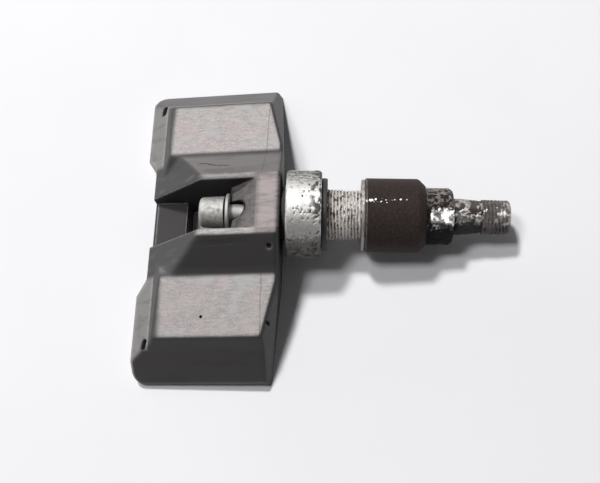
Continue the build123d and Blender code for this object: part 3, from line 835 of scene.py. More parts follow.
@dataclass(frozen=True)
class MottledFinish(Finish):
    """A finish of two mottled tones with grain and specks, for the simpler pieces."""

    light: Colour
    dark: Colour
    metallic: float
    smoothest: float
    roughest: float
    scale: float = 1.5
    speck_share: float = 0.2
    depth_mm: float = 0.03
    speck_dim: float = 0.35

    def looks(self, wiring: Wiring) -> dict[str, Value]:
        """Mottle between the tones, specks and a fine bump."""
        grain = wiring.effect(EFFECTS.grain, Scale=self.scale)
        specks = wiring.effect(EFFECTS.specks, Scale=self.scale * 1.3, Share=self.speck_share)["Mask"]
        colour = wiring.blend(wiring.ramp(grain["Mottle"], 0.3, 0.7), self.light, self.dark)
        colour = wiring.blend(wiring.times(specks, 0.6), colour, dimmed(self.dark, self.speck_dim))
        rough = wiring.ramp(grain["Mottle"], 0.3, 0.7, self.smoothest, self.roughest)
        return {"Base Color": colour, "Metallic": self.metallic, "Roughness": rough,
                "Normal": wiring.bump(grain["Height"], 0.4, self.depth_mm)}


PLASTIC = HousingPlastic("moulded_plastic")
STEM_METAL = WeatheredMetal("weathered_stem")
SCREW_STEEL = WeatheredMetal("satin_steel", rgb(0.43, 0.421, 0.405), rgb(0.33, 0.322, 0.31),
                             roughness=0.68, mottle_scale=1.4)
NUT_COAT = NutCoat("nut_coat")
SEAL_RUBBER = MottledFinish(
    "black_rubber", rgb(0.012, 0.012, 0.012), rgb(0.02, 0.019, 0.018), 0.0, 0.5, 0.7)
RING_METAL = MottledFinish(
    "thrust_ring_metal", rgb(0.40, 0.38, 0.36), rgb(0.20, 0.18, 0.165), 0.8, 0.45, 0.65)
SPRING_STEEL = MottledFinish(
    "spring_steel", rgb(0.42, 0.42, 0.42), rgb(0.3, 0.3, 0.3), 1.0, 0.3, 0.45)
CORE_BRASS = MottledFinish(
    "core_brass", rgb(0.55, 0.40, 0.18), rgb(0.36, 0.25, 0.11), 1.0, 0.3, 0.45)
RESIN = MottledFinish(
    "dark_resin", rgb(0.020, 0.020, 0.021), rgb(0.034, 0.032, 0.031), 0.0, 0.25, 0.4, 0.35, 0.15, 0.12)
TAB_NICKEL = MottledFinish(
    "tab_nickel", rgb(0.6, 0.57, 0.52), rgb(0.5, 0.47, 0.43), 1.0, 0.3, 0.45)
PACKAGE_BLACK = MottledFinish(
    "package_black", rgb(0.016, 0.016, 0.017), rgb(0.028, 0.028, 0.028), 0.0, 0.5, 0.65, 3.0)
KEPT_NODES: dict[str, Finish] = {
    "core_body": CORE_BRASS,
    "core_pin": CORE_BRASS,
    "core_gasket": SEAL_RUBBER,
    "core_seal": SEAL_RUBBER,
    "potting_resin": RESIN,
    "circuit_board": MottledFinish(
        "board_green", rgb(0.02, 0.11, 0.045), rgb(0.015, 0.075, 0.035), 0.0, 0.3, 0.45),
    "battery_cell": MottledFinish(
        "cell_steel", rgb(0.62, 0.62, 0.61), rgb(0.5, 0.5, 0.5), 1.0, 0.25, 0.4, 0.8),
    "battery_tab_lower": TAB_NICKEL,
    "battery_tab_upper": TAB_NICKEL,
    "pressure_sensor": PACKAGE_BLACK,
    "transmitter_chip": PACKAGE_BLACK,
    "port_filter": MottledFinish(
        "filter_white", rgb(0.78, 0.77, 0.74), rgb(0.68, 0.67, 0.64), 0.0, 0.7, 0.85, 5.0),
    "crystal": MottledFinish(
        "crystal_can", rgb(0.66, 0.65, 0.63), rgb(0.55, 0.54, 0.52), 1.0, 0.22, 0.35),
    "wake_up_coil": MottledFinish(
        "coil_ferrite", rgb(0.05, 0.045, 0.043), rgb(0.30, 0.13, 0.05), 0.0, 0.4, 0.6, 2.2),
    "capacitors": MottledFinish(
        "capacitor_tan", rgb(0.42, 0.30, 0.19), rgb(0.33, 0.23, 0.15), 0.0, 0.35, 0.5),
    "antenna_strip": MottledFinish(
        "antenna_copper", rgb(0.62, 0.33, 0.19), rgb(0.46, 0.23, 0.13), 1.0, 0.3, 0.45),
}


def dressed(piece: Piece, finish: Finish, body: Body, node: str) -> Piece:
    """Dress a finished piece, let it ride on its body and stand for its node.

    Args:
        piece: The finished piece.
        finish: Its looks.
        body: Body that carries it.
        node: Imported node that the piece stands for.

    Returns:
        The same piece.
    """
    finish.dress(piece)
    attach(piece, body.value)
    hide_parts(node)
    return piece


def merged_copy(node: str, name: str, smooth_deg: float) -> Piece:
    """Copy a solid's mesh with its loose triangles merged.

    Args:
        node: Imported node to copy.
        name: Name of the copy.
        smooth_deg: Edges flatter than this are shaded smooth.

    Returns:
        The copy, selected and active.
    """
    piece = bpy.data.objects.new(name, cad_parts[node].data.copy())
    bpy.context.scene.collection.objects.link(piece)
    pick(piece)
    bpy.ops.object.mode_set(mode="EDIT")
    bpy.ops.mesh.select_all(action="SELECT")
    bpy.ops.mesh.remove_doubles(threshold=COPY_WELD_MM * MM)
    bpy.ops.mesh.customdata_custom_splitnormals_clear()
    bpy.ops.object.mode_set(mode="OBJECT")
    bpy.ops.object.shade_smooth_by_angle(angle=math.radians(smooth_deg))
    return piece


@dataclass
class Housing:
    """The moulded housing as a cleaned copy of its solid."""

    node: str = "housing"
    smooth_deg: float = 32.0
    flat_weight: int = 80

    def build(self) -> Piece:
        """Copy the solid's mesh and even out the shading of its flats.

        Returns:
            The dressed housing.
        """
        piece = merged_copy(self.node, "housing_shell", self.smooth_deg)
        even = piece.modifiers.new("even_flats", "WEIGHTED_NORMAL")
        even.keep_sharp = True
        even.weight = self.flat_weight
        bpy.ops.object.modifier_apply(modifier=even.name)
        return dressed(piece, PLASTIC, Body.HOUSING, self.node)


@dataclass
class ValveStem:
    """The turned stem with its ball foot, pitted collar and two corroded threads."""

    steps: int = 224
    smooth_deg: float = 45.0
    ball_radius: float = 7.5
    ball_centre: float = 5.0
    ball_parts: int = 8
    screw_hole: float = 2.03
    screw_hole_end: float = 6.5
    collar_start: float = 1.2
    collar_end: float = 9.1
    collar_radius: float = 9.9
    collar_chamfer: float = 0.35
    thread_radius: float = 5.75
    thread_pitch: float = 0.75
    thread_depth: float = 0.42
    thread_shown: float = 23.0
    thread_end: float = 27.0
    thread_chamfer: float = 0.5
    neck_radius: float = 3.95
    neck_shown: float = 33.0
    taper_start: float = 40.5
    cap_start: float = 45.2
    cap_radius: float = 3.85
    cap_pitch: float = 0.8
    cap_depth: float = 0.15
    tip: float = 51.398
    tip_round: float = 0.7
    plug_hole: float = 2.65
    core_hole: float = 2.1
    core_hole_end: float = 33.1
    air_hole: float = 1.5
    seed: int = 11
    pit_count: int = 130
    pit_margin: float = 0.3
    pit_gather: float = 2.2
    near_pits: int = 30
    eaten_edge: Patches = Patches(0.9, 3, 23, 0.5, 0.6)
    edge_wave: Grain = Grain(2.0, 2, 25)
    upper_streaks: Patches = Patches(1.0, 3, 27, 0.5, 0.62)
    lower_marks: Patches = Patches(0.8, 3, 21, 0.48, 0.58)
    corner_loss: Patches = Patches(1.1, 3, 5, 0.42, 0.72)
    collar_dips: Patches = Patches(3.0, 2, 9, 0.5, 0.8)
    collar_grit: Patches = Patches(0.45, 3, 29, 0.42, 0.66)
    thread_wander: Grain = Grain(1.7, 3, 39)
    thread_eaten: Grain = Grain(1.5, 3, 31)
    thread_lumps: Grain = Grain(2.6, 3, 37)
    thread_spots: Patches = Patches(0.6, 3, 33, 0.58, 0.7)
    groove_rust: Patches = Patches(0.9, 3, 35, 0.25, 0.6)
    neck_flakes: Patches = Patches(1.1, 3, 43, 0.45, 0.54)
    neck_fine: Patches = Patches(0.6, 3, 45, 0.45, 0.58)
    neck_salt: Patches = Patches(1.0, 3, 53, 0.42, 0.6)
    cap_wander: Grain = Grain(1.4, 3, 69)
    cap_eaten: Grain = Grain(1.3, 3, 61)
    cap_spots: Patches = Patches(0.8, 3, 67, 0.54, 0.64)

    def profile(self) -> list[Station]:
        """Corners of the stem's closed half section."""
        first = self.ball_centre - math.sqrt(self.ball_radius**2 - self.screw_hole**2)
        ball = []
        for part in range(self.ball_parts + 1):
            along = first + (self.collar_start - first) * part / self.ball_parts
            ball.append(Station(along, math.sqrt(self.ball_radius**2 - (along - self.ball_centre) ** 2)))
        chamfer, radius = self.collar_chamfer, self.collar_radius
        return ball + [
            Station(self.collar_start, radius - chamfer, 6),
            Station(self.collar_start + chamfer, radius, 3),
            Station(self.collar_end - chamfer, radius, 48),
            Station(self.collar_end, radius - chamfer, 3),
            Station(self.collar_end, self.thread_radius, 8),
            Station(self.thread_shown, self.thread_radius, 139),
            Station(self.thread_end - self.thread_chamfer, self.thread_radius, 14),
            Station(self.thread_end, self.thread_radius - self.thread_chamfer, 2),
            Station(self.thread_end, self.neck_radius, 2),
            Station(self.neck_shown, self.neck_radius, 6),
            Station(self.cap_start, self.neck_radius, 61),
            Station(self.tip - self.tip_round, self.cap_radius, 58),
            Station(self.tip, self.cap_radius - self.tip_round, 7),
            Station(self.tip, self.plug_hole, 2),
            Station(self.cap_start, self.plug_hole, 6),
            Station(self.cap_start, self.core_hole),
            Station(self.core_hole_end, self.core_hole, 6),
            Station(self.core_hole_end, self.air_hole),
            Station(self.screw_hole_end, self.air_hole, 6),
            Station(self.screw_hole_end, self.screw_hole),
        ]

    def build(self) -> Piece:
        """Spin the stem, cut its threads, weather it and dress it.

        Returns:
            The dressed stem.
        """
        mesh = TurnedMesh("valve_stem_turned", self.profile(), self.steps)
        masks = {name: np.zeros(len(mesh.along)) for name in ("pit", "rust", "salt", "grime")}
        for weather in (self._collar, self._rim_thread, self._neck, self._cap_thread):
            weather(mesh, masks)
        mesh.paint(masks)
        return dressed(mesh.finish(self.smooth_deg), STEM_METAL, Body.STEM, "valve_stem")

    def _collar_spots(self) -> list[Point]:
        """Pits, most of them towards the collar's far edge, and a row on the near side."""
        draw = np.random.RandomState(self.seed)
        last = self.collar_end - self.pit_margin
        reach = self.collar_end - self.collar_start - 2 * self.pit_margin
        spots = []
        for _ in range(self.pit_count):
            along = last - reach * draw.rand() ** self.pit_gather
            spots.append((along, draw.uniform(-180, 180), draw.uniform(0.13, 0.34)))
        for _ in range(self.near_pits):
            spots.append((draw.uniform(2.2, 8.8), draw.normal(-20, 6), draw.uniform(0.12, 0.26)))
        return spots

    def _collar(self, mesh: TurnedMesh, masks: Masks) -> None:
        """Pits, an eaten far edge, dark streaks, a burr and soiling on the collar, with painted shade on
        its lower near side and on the ball foot.
        """
        low_rim = self.collar_radius - 1.5 * self.collar_chamfer
        on_collar = mesh.between(self.collar_start, self.collar_end, low_rim)
        pits = mesh.pits(self._collar_spots())
        edge = ease(mesh.along + 1.2 * mesh.noise(self.edge_wave), 7.0, 8.6)
        eaten = mesh.patches(self.eaten_edge) * edge
        streak = mesh.streaks(2.6, 0.4, self.upper_streaks) * mesh.facing(45, 17)
        lower = mesh.patches(self.lower_marks) * mesh.facing(-88, 16)
        hurt = np.maximum.reduce((pits, eaten, 0.85 * streak, 0.8 * lower))
        hurt = np.where(on_collar, np.clip(hurt, 0.0, 1.0), 0.0)
        corner = on_collar & (mesh.first_radius < self.collar_radius - 0.05)
        mesh.radius -= 0.15 * hurt
        mesh.radius -= np.where(corner, 0.24 * mesh.patches(self.corner_loss), 0.0)
        burr = np.exp(-((mesh.along - 7.9) / 0.5) ** 2) * mesh.facing(64, 4.0)
        mesh.radius += np.where(on_collar, 0.16 * burr - 0.05 * mesh.patches(self.collar_dips), 0.0)
        grit = mesh.patches(self.collar_grit)
        upper = 0.5 * mesh.facing(50, 20)
        # Its lower near side is darkened as painted shade.
        lay(masks, on_collar, pit=hurt * np.where(eaten > pits, 0.8, 1.0),
            grime=mesh.shaded_underside(40.0, 72.0) + upper + 0.3 * eaten + 0.32 * grit)
        face = mesh.between(self.collar_start - 0.1, self.collar_end + 0.01, 5.8) & ~on_collar
        lay(masks, face, rust=0.45)
        # The ball foot is painted dark as shade in the bracket's hole.
        lay(masks, mesh.between(-3.0, self.collar_start + 0.05, 2.5), pit=0.9)

    def _rim_thread(self, mesh: TurnedMesh, masks: Masks) -> None:
        """Rim thread with eaten crests, brown grooves, pale crust and painted shade on its lower near
        side.
        """
        cut = mesh.between(self.collar_end + 0.02, self.thread_end, self.thread_radius - 0.6)
        crest = mesh.thread(self.thread_pitch, 0.55 * (mesh.noise(self.thread_wander) - 0.5))
        eaten, lumps = mesh.noise(self.thread_eaten), mesh.noise(self.thread_lumps)
        groove = 1.0 - crest
        depth = self.thread_depth * groove * (0.4 + 0.9 * eaten) + 0.32 * ease(lumps, 0.46, 0.72)
        start = ease(mesh.along, self.collar_end, self.collar_end + 0.5)
        mesh.radius -= np.where(cut, depth * start, 0.0)
        near_seal = 1.0 - ease(mesh.along, 11.0, 17.0)
        stain = 0.5 * groove * mesh.patches(self.groove_rust) + 0.4 * (eaten - 0.5)
        # Its lower near side is darkened as painted shade.
        lay(masks, cut, rust=stain + 0.12 * near_seal + 0.35 * mesh.patches(self.thread_spots),
            salt=0.45 * crest + (lumps - 0.42) + 0.22, grime=0.4 * mesh.shaded_underside(42.0, 75.0))

    def _neck(self, mesh: TurnedMesh, masks: Masks) -> None:
        """Flaking neck, bare in the middle of the near side and painted black below as shade."""
        on_neck = mesh.between(self.neck_shown, self.cap_start, 3.0)
        share = (mesh.along - self.taper_start) / (self.cap_start - self.taper_start)
        taper = 0.12 - 0.45 * np.clip(share, 0.0, 1.0)
        flake, fine = mesh.patches(self.neck_flakes), mesh.patches(self.neck_fine)
        relief = 0.12 * (flake - 0.8) - 0.06 * (1.0 - fine)
        mesh.radius += np.where(on_neck, taper + relief, 0.0)
        bright = mesh.facing(-24, 15)
        above = ease(mesh.angle_from(0.0), -8.0, 12.0)
        # The lower near side is painted dark as shade.
        under_shade = mesh.shaded_underside(38.0, 58.0)
        chipped = 0.75 * (1.0 - fine) * (1.0 - 0.5 * above)
        lay(masks, on_neck, rust=(1.0 - flake) * (0.95 - 0.6 * bright) + 0.3 * above * fine,
            salt=(0.75 * above + 0.35) * flake * mesh.patches(self.neck_salt),
            pit=np.clip(under_shade + chipped, 0.0, 0.95), grime=0.8 * under_shade + 0.45 * above)

    def _cap_thread(self, mesh: TurnedMesh, masks: Masks) -> None:
        """Dark cap thread with a few bright spots, a rounded, rubbed end and painted shade on its lower
        near side.
        """
        cut = mesh.between(self.cap_start, self.tip, 3.0)
        crest = mesh.thread(self.cap_pitch, 0.6 * (mesh.noise(self.cap_wander) - 0.5))
        groove, eaten = 1.0 - crest, mesh.noise(self.cap_eaten)
        end = ease(mesh.along, self.tip - 1.2, self.tip - 0.3)
        depth = self.cap_depth * groove * (0.5 + 0.7 * eaten) * (1.0 - end)
        rise = np.clip((mesh.along - self.tip + self.tip_round) / self.tip_round, 0.0, 1.0)
        rounding = self.tip_round * (np.sqrt(1.0 - rise**2) - (1.0 - rise))
        mesh.radius += np.where(cut, rounding - depth - 0.12 * ease(eaten, 0.5, 0.8), 0.0)
        outer = ease(mesh.along, self.cap_start + 0.5, self.tip - 1.5)
        bright = (0.25 + mesh.facing(-18, 24)) * mesh.patches(self.cap_spots)
        bright = np.clip(bright * (0.75 + 0.2 * outer), 0.0, 1.0)
        # The lower near side is painted dark as shade.
        under_shade = mesh.shaded_underside(42.0, 70.0)
        stain = 0.78 + 0.14 * groove + 0.9 * (eaten - 0.5) - 0.4 * end
        lay(masks, cut, rust=stain - (0.8 * bright + 0.2 * outer - 0.12),
            salt=0.6 * (0.4 + 0.6 * crest) * bright + 0.2 * end,
            grime=0.6 + 0.4 * under_shade - 0.6 * bright,
            pit=0.5 * under_shade + 0.45 * groove * ease(eaten, 0.45, 0.6) * (1.0 - end))


@dataclass
class ClampingNut:
    """The nut: smooth barrel, cone and a rubbed hexagon."""

    steps: int = 240
    smooth_deg: float = 35.0
    start: float = 18.75
    barrel_end: float = 30.85
    cone_end: float = 32.45
    end: float = 38.45
    radius: float = 8.4
    chamfer: float = 0.35
    hex_flat: float = 6.0
    hex_chamfer: float = 1.0
    hex_turn_deg: float = 11.0
    hex_soft: float = 0.25
    hex_soft_deg: float = 6.0
    thread_hole: float = 5.8
    shoulder: float = 32.4
    mouth: float = 4.25
    mouth_chamfer: float = 0.2
    seed: int = 17
    spot_count: int = 46
    bright_spots: int = 26
    rough: Grain = Grain(1.6, 4, 71)
    fine: Patches = Patches(0.8, 3, 79, 0.46, 0.58)
    dents: Patches = Patches(3.0, 3, 73, 0.5, 0.72)
    ripple: Grain = Grain(2.5, 3, 77)
    crusts: Patches = Patches(0.65, 3, 75, 0.4, 0.56)

    def profile(self) -> list[Station]:
        """Corners of the nut's closed half section."""
        corner = self.hex_flat / math.cos(math.pi / 6)
        return [
            Station(self.start, self.thread_hole),
            Station(self.start, self.radius - self.chamfer, 4),
            Station(self.start + self.chamfer, self.radius, 3),
            Station(self.barrel_end - 0.25, self.radius, 40),
            Station(self.barrel_end + 0.2, self.radius - 0.25, 3),
            Station(self.cone_end - 0.1, corner, 8),
            Station(self.cone_end, corner - 0.1, 2),
            Station(self.cone_end + 0.15, corner - 0.1, 2),
            Station(self.end - self.hex_chamfer, corner, 32),
            Station(self.end, corner - self.hex_chamfer, 8),
            Station(self.end, self.mouth + self.mouth_chamfer, 6),
            Station(self.end - self.mouth_chamfer, self.mouth),
            Station(self.shoulder, self.mouth, 6),
            Station(self.shoulder, self.thread_hole),
        ]

    def build(self) -> Piece:
        """Spin the nut, shape its hexagon, wear it and dress it.

        Returns:
            The dressed nut.
        """
        mesh = TurnedMesh("clamping_nut_turned", self.profile(), self.steps)
        masks = {name: np.zeros(len(mesh.along)) for name in ("worn", "crust", "pit")}
        self._hexagon(mesh)
        self._wear_hexagon(mesh, masks)
        self._wear_barrel(mesh, masks)
        outside = mesh.first_radius > self.mouth + 0.4
        mesh.paint({name: np.where(outside, values, 0.0) for name, values in masks.items()})
        return dressed(mesh.finish(self.smooth_deg), NUT_COAT, Body.NUT, "clamping_nut")

    def _hexagon(self, mesh: TurnedMesh) -> None:
        """Press the round hexagon stations into six flats with softened corners."""
        on_hex = mesh.between(self.cone_end + 0.05, self.end, self.mouth + 0.3)
        turned = np.abs(np.mod(mesh.angle_from(90.0 - self.hex_turn_deg) + 30.0, 60.0) - 30.0)
        flat = self.hex_flat / np.cos(np.radians(30.0 - turned))
        soft = self.hex_soft * ease(self.hex_soft_deg - turned, 0.0, self.hex_soft_deg)
        mesh.radius = np.where(on_hex, np.minimum(mesh.radius, flat - soft), mesh.radius)

    def _wear_hexagon(self, mesh: TurnedMesh, masks: Masks) -> None:
        """Dents, a bright patch on the near side, crust above and painted black below as shade.

        The thread's hole ends inside the hexagon's stations and stays as it is.
        """
        bored = (mesh.along < self.shoulder + 0.02) & (mesh.first_radius < self.thread_hole + 0.1)
        hexagon = mesh.between(self.cone_end - 0.2, self.end, self.mouth + 0.3) & ~bored
        rough, dented = mesh.noise(self.rough), mesh.patches(self.dents)
        chipped = 1.0 - mesh.patches(self.fine)
        mesh.radius -= np.where(hexagon, 0.14 * rough + 0.16 * dented + 0.05 * chipped, 0.0)
        patch = mesh.facing(-27, 25) * ease(mesh.along, 32.7, 33.7)
        above = ease(mesh.angle_from(0.0), -12.0, 10.0) * ease(-mesh.angle_from(150.0), 0.0, 30.0)
        # Its lower near side is painted black as shade; the chipped part is wear.
        pit = 0.85 * mesh.shaded_underside(34.0, 60.0) + chipped * (0.9 - 0.5 * above - 0.1 * patch)
        lay(masks, hexagon, worn=0.98 * patch + 0.6 * (rough - 0.5) + 0.1 * dented,
            crust=(0.8 * above + 0.15) * mesh.patches(self.crusts), pit=np.clip(pit, 0.0, 0.9))

    def _wear_barrel(self, mesh: TurnedMesh, masks: Masks) -> None:
        """A thin rubbed band with bright and dark spots along the top of the barrel."""
        barrel = mesh.between(self.start, self.cone_end - 0.2, self.thread_hole + 0.5)
        mesh.radius -= np.where(barrel, 0.02 * mesh.noise(self.ripple), 0.0)
        draw = np.random.RandomState(self.seed)
        spots = [(19.4 + 9.0 * draw.rand() ** 1.8, draw.normal(0.0, 5.0), draw.uniform(0.1, 0.26))
                 for _ in range(self.spot_count)]
        band = mesh.facing(0.0, 4.5) * (1.0 - ease(mesh.along, 20.0, 27.5)) + 0.3 * mesh.facing(0.0, 14.0)
        lay(masks, barrel, worn=0.38 * band + 0.45 * mesh.pits(spots[:self.bright_spots]))
        dark = 0.8 * mesh.pits(spots[self.bright_spots:])
        lay(masks, barrel, pit=dark * (masks["worn"] < 0.5))


class Ring(NamedTuple):
    """A flat ring with rounded edges: its two faces, hole, outside and edge radius."""

    start: float
    end: float
    inner: float
    outer: float
    edge: float

    def profile(self) -> list[Station]:
        """Corners of the ring's closed half section."""
        profile = []
        start, end = self.start + self.edge, self.end - self.edge
        inner, outer = self.inner + self.edge, self.outer - self.edge
        corners = ((end, outer), (start, outer), (start, inner), (end, inner))
        for quarter, (along, radius) in enumerate(corners):
            for part in range(5):
                turn = math.pi / 2 * (quarter + part / 4)
                profile.append(Station(along + self.edge * math.cos(turn),
                                       radius + self.edge * math.sin(turn), 4 if part == 0 else 1))
        return profile


@dataclass
class RimRings:
    """The rubber seal on the collar and the thin ring in front of the nut."""

    steps: int = 160
    seal: Ring = Ring(9.1, 10.4, 5.85, 8.3, 0.3)
    seal_smooth_deg: float = 50.0
    seal_wear: Grain = Grain(1.4, 3, 81)
    thrust: Ring = Ring(18.05, 18.7, 6.0, 8.1, 0.12)
    thrust_smooth_deg: float = 40.0
    thrust_wear: Grain = Grain(1.0, 3, 83)

    def build(self) -> list[Piece]:
        """Spin, wear and dress both rings.

        Returns:
            The seal and the thrust ring.
        """
        seal = TurnedMesh("rim_seal_ring", self.seal.profile(), self.steps)
        rim = seal.first_radius > self.seal.outer - 0.6
        seal.radius -= np.where(rim, 0.12 * seal.noise(self.seal_wear), 0.0)
        pieces = [dressed(seal.finish(self.seal_smooth_deg), SEAL_RUBBER, Body.STEM,
                          "rim_seal")]
        ring = TurnedMesh("thrust_washer_ring", self.thrust.profile(), self.steps)
        edge = ring.first_radius > self.thrust.outer - 0.3
        ring.radius -= np.where(edge, 0.06 * ring.noise(self.thrust_wear), 0.0)
        pieces.append(dressed(ring.finish(self.thrust_smooth_deg), RING_METAL, Body.THRUST_RING,
                              "thrust_washer"))
        return pieces


@dataclass
class FixingScrew:
    """The hollow screw with its tapered head and six-lobe socket, and its washer."""

    steps: int = 144
    smooth_deg: float = 40.0
    head_start: float = -18.65
    head_end: float = -12.55
    head_radius: float = 3.8
    head_end_radius: float = 3.5
    head_round: float = 1.0
    round_parts: int = 8
    undercut: float = 0.45
    undercut_radius: float = 2.3
    groove_radius: float = 3.6
    socket_depth: float = 2.8
    socket_radius: float = 1.9
    socket_wave: float = 0.27
    socket_fade: float = 1.15
    lobes: int = 6
    shank_radius: float = 2.0
    shank_end: float = 5.5
    bore: float = 0.75
    washer: Ring = Ring(-12.55, -11.85, 2.35, 4.4, 0.14)
    head_wear: Grain = Grain(1.5, 3, 91)
    head_grime: Patches = Patches(1.0, 4, 93, 0.36, 0.68)

    def profile(self) -> list[Station]:
        """Corners of the screw's closed half section."""
        floor = self.head_start + self.socket_depth
        corner = []
        for part in range(self.round_parts + 1):
            turn = math.pi / 2 * part / self.round_parts
            corner.append(Station(self.head_start + self.head_round * (1 - math.cos(turn)),
                                  self.head_end_radius - self.head_round * (1 - math.sin(turn))))
        return [
            Station(floor, self.bore),
            Station(floor, self.socket_radius - 0.05, 4),
            Station(floor - 0.1, self.socket_radius),
            Station(self.head_start + 0.15, self.socket_radius, 8),
            Station(self.head_start, self.socket_radius + 0.15, 2),
        ] + corner + [
            Station(self.head_end - self.undercut - 0.1, self.head_radius, 16),
            Station(self.head_end - self.undercut, self.head_radius - 0.1, 2),
            Station(self.head_end - self.undercut, self.undercut_radius, 3),
            Station(self.head_end, self.undercut_radius, 2),
            Station(self.head_end, self.shank_radius, 2),
            Station(self.shank_end, self.shank_radius, 24),
            Station(self.shank_end, self.bore, 2),
        ]

    def build(self) -> list[Piece]:
        """Spin the screw and its washer, press the socket and dress both.

        Returns:
            The screw and the washer.
        """
        screw = TurnedMesh("fixing_screw_turned", self.profile(), self.steps)
        socket = screw.between(self.head_start - 0.01, self.head_start + self.socket_depth + 0.01,
                               self.bore + 0.3) & (screw.first_radius < self.socket_radius + 0.2)
        fade = np.clip(screw.first_radius - self.bore, 0, self.socket_fade) / self.socket_fade
        wave = self.socket_wave * np.cos(self.lobes * screw.angle)
        screw.radius += np.where(socket, wave * fade, 0.0)
        head = screw.between(self.head_start, self.head_end, self.head_end_radius - self.head_round)
        screw.radius -= np.where(head, 0.03 * screw.noise(self.head_wear), 0.0)
        # The undercut groove next to the head is painted black as shade.
        groove = screw.between(self.head_end - self.undercut - 0.05, self.head_end)
        groove &= screw.first_radius < self.groove_radius
        screw.paint({"pit": np.where(groove, 1.0, 0.0),
                     "grime": np.where(head, 0.18 + 0.2 * screw.patches(self.head_grime), 0.1)})
        washer = TurnedMesh("screw_washer_ring", self.washer.profile(), self.steps)
        return [dressed(mesh.finish(self.smooth_deg), SCREW_STEEL, Body.STEM, node)
                for mesh, node in ((screw, "fixing_screw"), (washer, "screw_washer"))]


@dataclass
class CoreSpring:
    """The valve core's spring, a copy of its solid."""

    node: str = "core_spring"
    joint: str = "core_press"
    stroke: float = 1.5
    smooth_deg: float = 35.0

    def build(self) -> Piece:
        """Copy the spring and dress it.

        Returns:
            The dressed spring.
        """
        piece = merged_copy(self.node, "core_spring_coil", self.smooth_deg)
        dressed(piece, SPRING_STEEL, Body.STEM, self.node)
        place = StemFrame().matrix()
        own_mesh(piece)
        return piece


@dataclass
class Insides:
    """Valve core, resin and electronics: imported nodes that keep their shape."""

    def dress(self) -> list[Piece]:
        """Give each node its finish.

        Returns:
            The dressed nodes.
        """
        for node, finish in KEPT_NODES.items():
            finish.dress(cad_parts[node])
        return [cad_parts[node] for node in KEPT_NODES]


class Lamp(NamedTuple):
    """An area lamp: direction from the object, distance and size in metres, and power."""

    name: str
    direction: Point
    distance: float
    width: float
    height: float
    watts: float


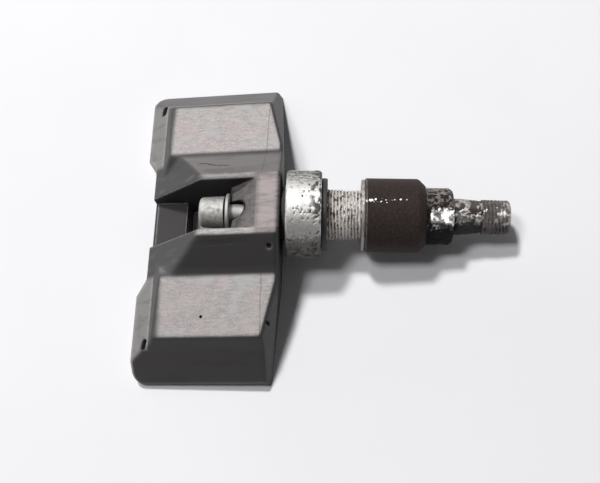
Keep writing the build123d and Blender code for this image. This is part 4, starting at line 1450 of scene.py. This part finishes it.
@dataclass
class Studio:
    """Camera, pale floor, lamps, dark card and surroundings."""

    camera_mm: Point = (34.844, -83.775, 205.870)
    right: Point = (0.9922, 0.0289, -0.1211)
    up: Point = (0.0176, 0.9303, 0.3663)
    back: Point = (0.1233, -0.3655, 0.9226)
    lens_mm: float = 56.2
    nearest: float = 0.005
    floor_size: float = 2.2
    floor_colour: Colour = rgb(0.915, 0.908, 0.935)
    floor_dim: float = 0.985
    lamps: tuple[Lamp, ...] = (
        Lamp("key_lamp", (-0.19, 0.385, 0.90), 1.3, 0.16, 0.16, 11.0),
        Lamp("top_lamp", (-0.29, 0.02, 0.955), 1.1, 0.22, 0.22, 3.7),
        Lamp("low_card", (-0.80, 0.55, 0.18), 1.4, 2.0, 0.5, 6.0))
    card_direction: Point = (0.15, -0.8, 0.58)
    card_distance: float = 0.75
    card_size: Point = (1.5, 0.9, 1.0)
    card_colour: Colour = rgb(0.12, 0.12, 0.12)
    surround: float = 0.06

    def build(self) -> None:
        """Set up everything around the object."""
        self._camera()
        self._floor()
        for lamp in self.lamps:
            self._lamp(lamp)
        self._dark_card()
        self._world()
        bpy.context.scene.view_settings.view_transform = "Standard"

    def _camera(self) -> None:
        """Camera at the place that the photograph was taken from."""
        camera = bpy.data.objects.new("camera", bpy.data.cameras.new("camera"))
        bpy.context.scene.collection.objects.link(camera)
        turn = Matrix((self.right, self.up, self.back)).transposed().to_4x4()
        camera.matrix_world = Matrix.Translation(Vector(self.camera_mm) * MM) @ turn
        camera.data.lens = self.lens_mm
        camera.data.clip_start = self.nearest
        bpy.context.scene.camera = camera

    @staticmethod
    def _sheet(name: str, material: str, size: float, place: Vector) -> tuple[Piece, Wiring]:
        """Flat square with a new material, and hands on that material's tree."""
        deselect_all()
        bpy.ops.mesh.primitive_plane_add(size=size, location=place)
        sheet = bpy.context.object
        sheet.name = name
        made = bpy.data.materials.new(material)
        made.use_nodes = True
        sheet.data.materials.append(made)
        return sheet, Wiring(made.node_tree)

    def _floor(self) -> None:
        """Wide pale floor with a faint paper mottle."""
        floor, wiring = self._sheet("floor", "pale_floor", self.floor_size, Vector())
        mottle = wiring.ramp(wiring.noise(wiring.places(), 0.02, 4.0), 0.35, 0.65)
        colour = wiring.blend(mottle, self.floor_colour, dimmed(self.floor_colour, self.floor_dim))
        wiring.feed(wiring.tree.nodes["Principled BSDF"],
                    {"Base Color": colour, "Roughness": 0.9, "Specular IOR Level": 0.1})

    def _lamp(self, made: Lamp) -> None:
        """Area lamp that looks at the object."""
        lamp = bpy.data.objects.new(made.name, bpy.data.lights.new(made.name, "AREA"))
        bpy.context.scene.collection.objects.link(lamp)
        lamp.data.shape = "RECTANGLE"
        lamp.data.size, lamp.data.size_y = made.width, made.height
        lamp.data.energy = made.watts
        away = Vector(made.direction).normalized()
        lamp.location = away * made.distance
        lamp.rotation_euler = away.to_track_quat("Z", "Y").to_euler()

    def _dark_card(self) -> None:
        """Dark card on the near side, which metal and plastic mirror; no camera sees it."""
        away = Vector(self.card_direction).normalized()
        card, wiring = self._sheet("dark_card", "dark_card", 1.0, away * self.card_distance)
        card.rotation_euler = away.to_track_quat("Z", "Y").to_euler()
        card.scale = self.card_size
        wiring.feed(wiring.tree.nodes["Principled BSDF"], {"Base Color": self.card_colour})
        card.visible_camera = False
        card.visible_shadow = False

    def _world(self) -> None:
        """White to the eye and in mirrors, dim as a light."""
        world = bpy.data.worlds.new("studio")
        bpy.context.scene.world = world
        world.use_nodes = True
        wiring = Wiring(world.node_tree)
        rays = wiring.add("LightPath").outputs
        mirrored = wiring.math("MAXIMUM", rays["Is Glossy Ray"], rays["Is Transmission Ray"])
        seen = wiring.math("MAXIMUM", rays["Is Camera Ray"], mirrored)
        strength = wiring.ramp(seen, 0.0, 1.0, self.surround, 1.0)
        wiring.feed(world.node_tree.nodes["Background"],
                    {"Strength": strength, "Color": rgb(1.0, 1.0, 1.0)})


def main() -> None:
    """Build the sub-assemblies in order and report each piece."""
    logging.basicConfig(level=logging.INFO, format="%(name)s: %(message)s")
    Studio().build()
    pieces = [Housing().build(), ValveStem().build(), ClampingNut().build()]
    pieces += RimRings().build() + FixingScrew().build() + [CoreSpring().build()] + Insides().dress()
    for piece in pieces:
        LOG.info("%s: %d faces", piece.name, len(piece.data.polygons))


if __name__ == "__main__":
    main()
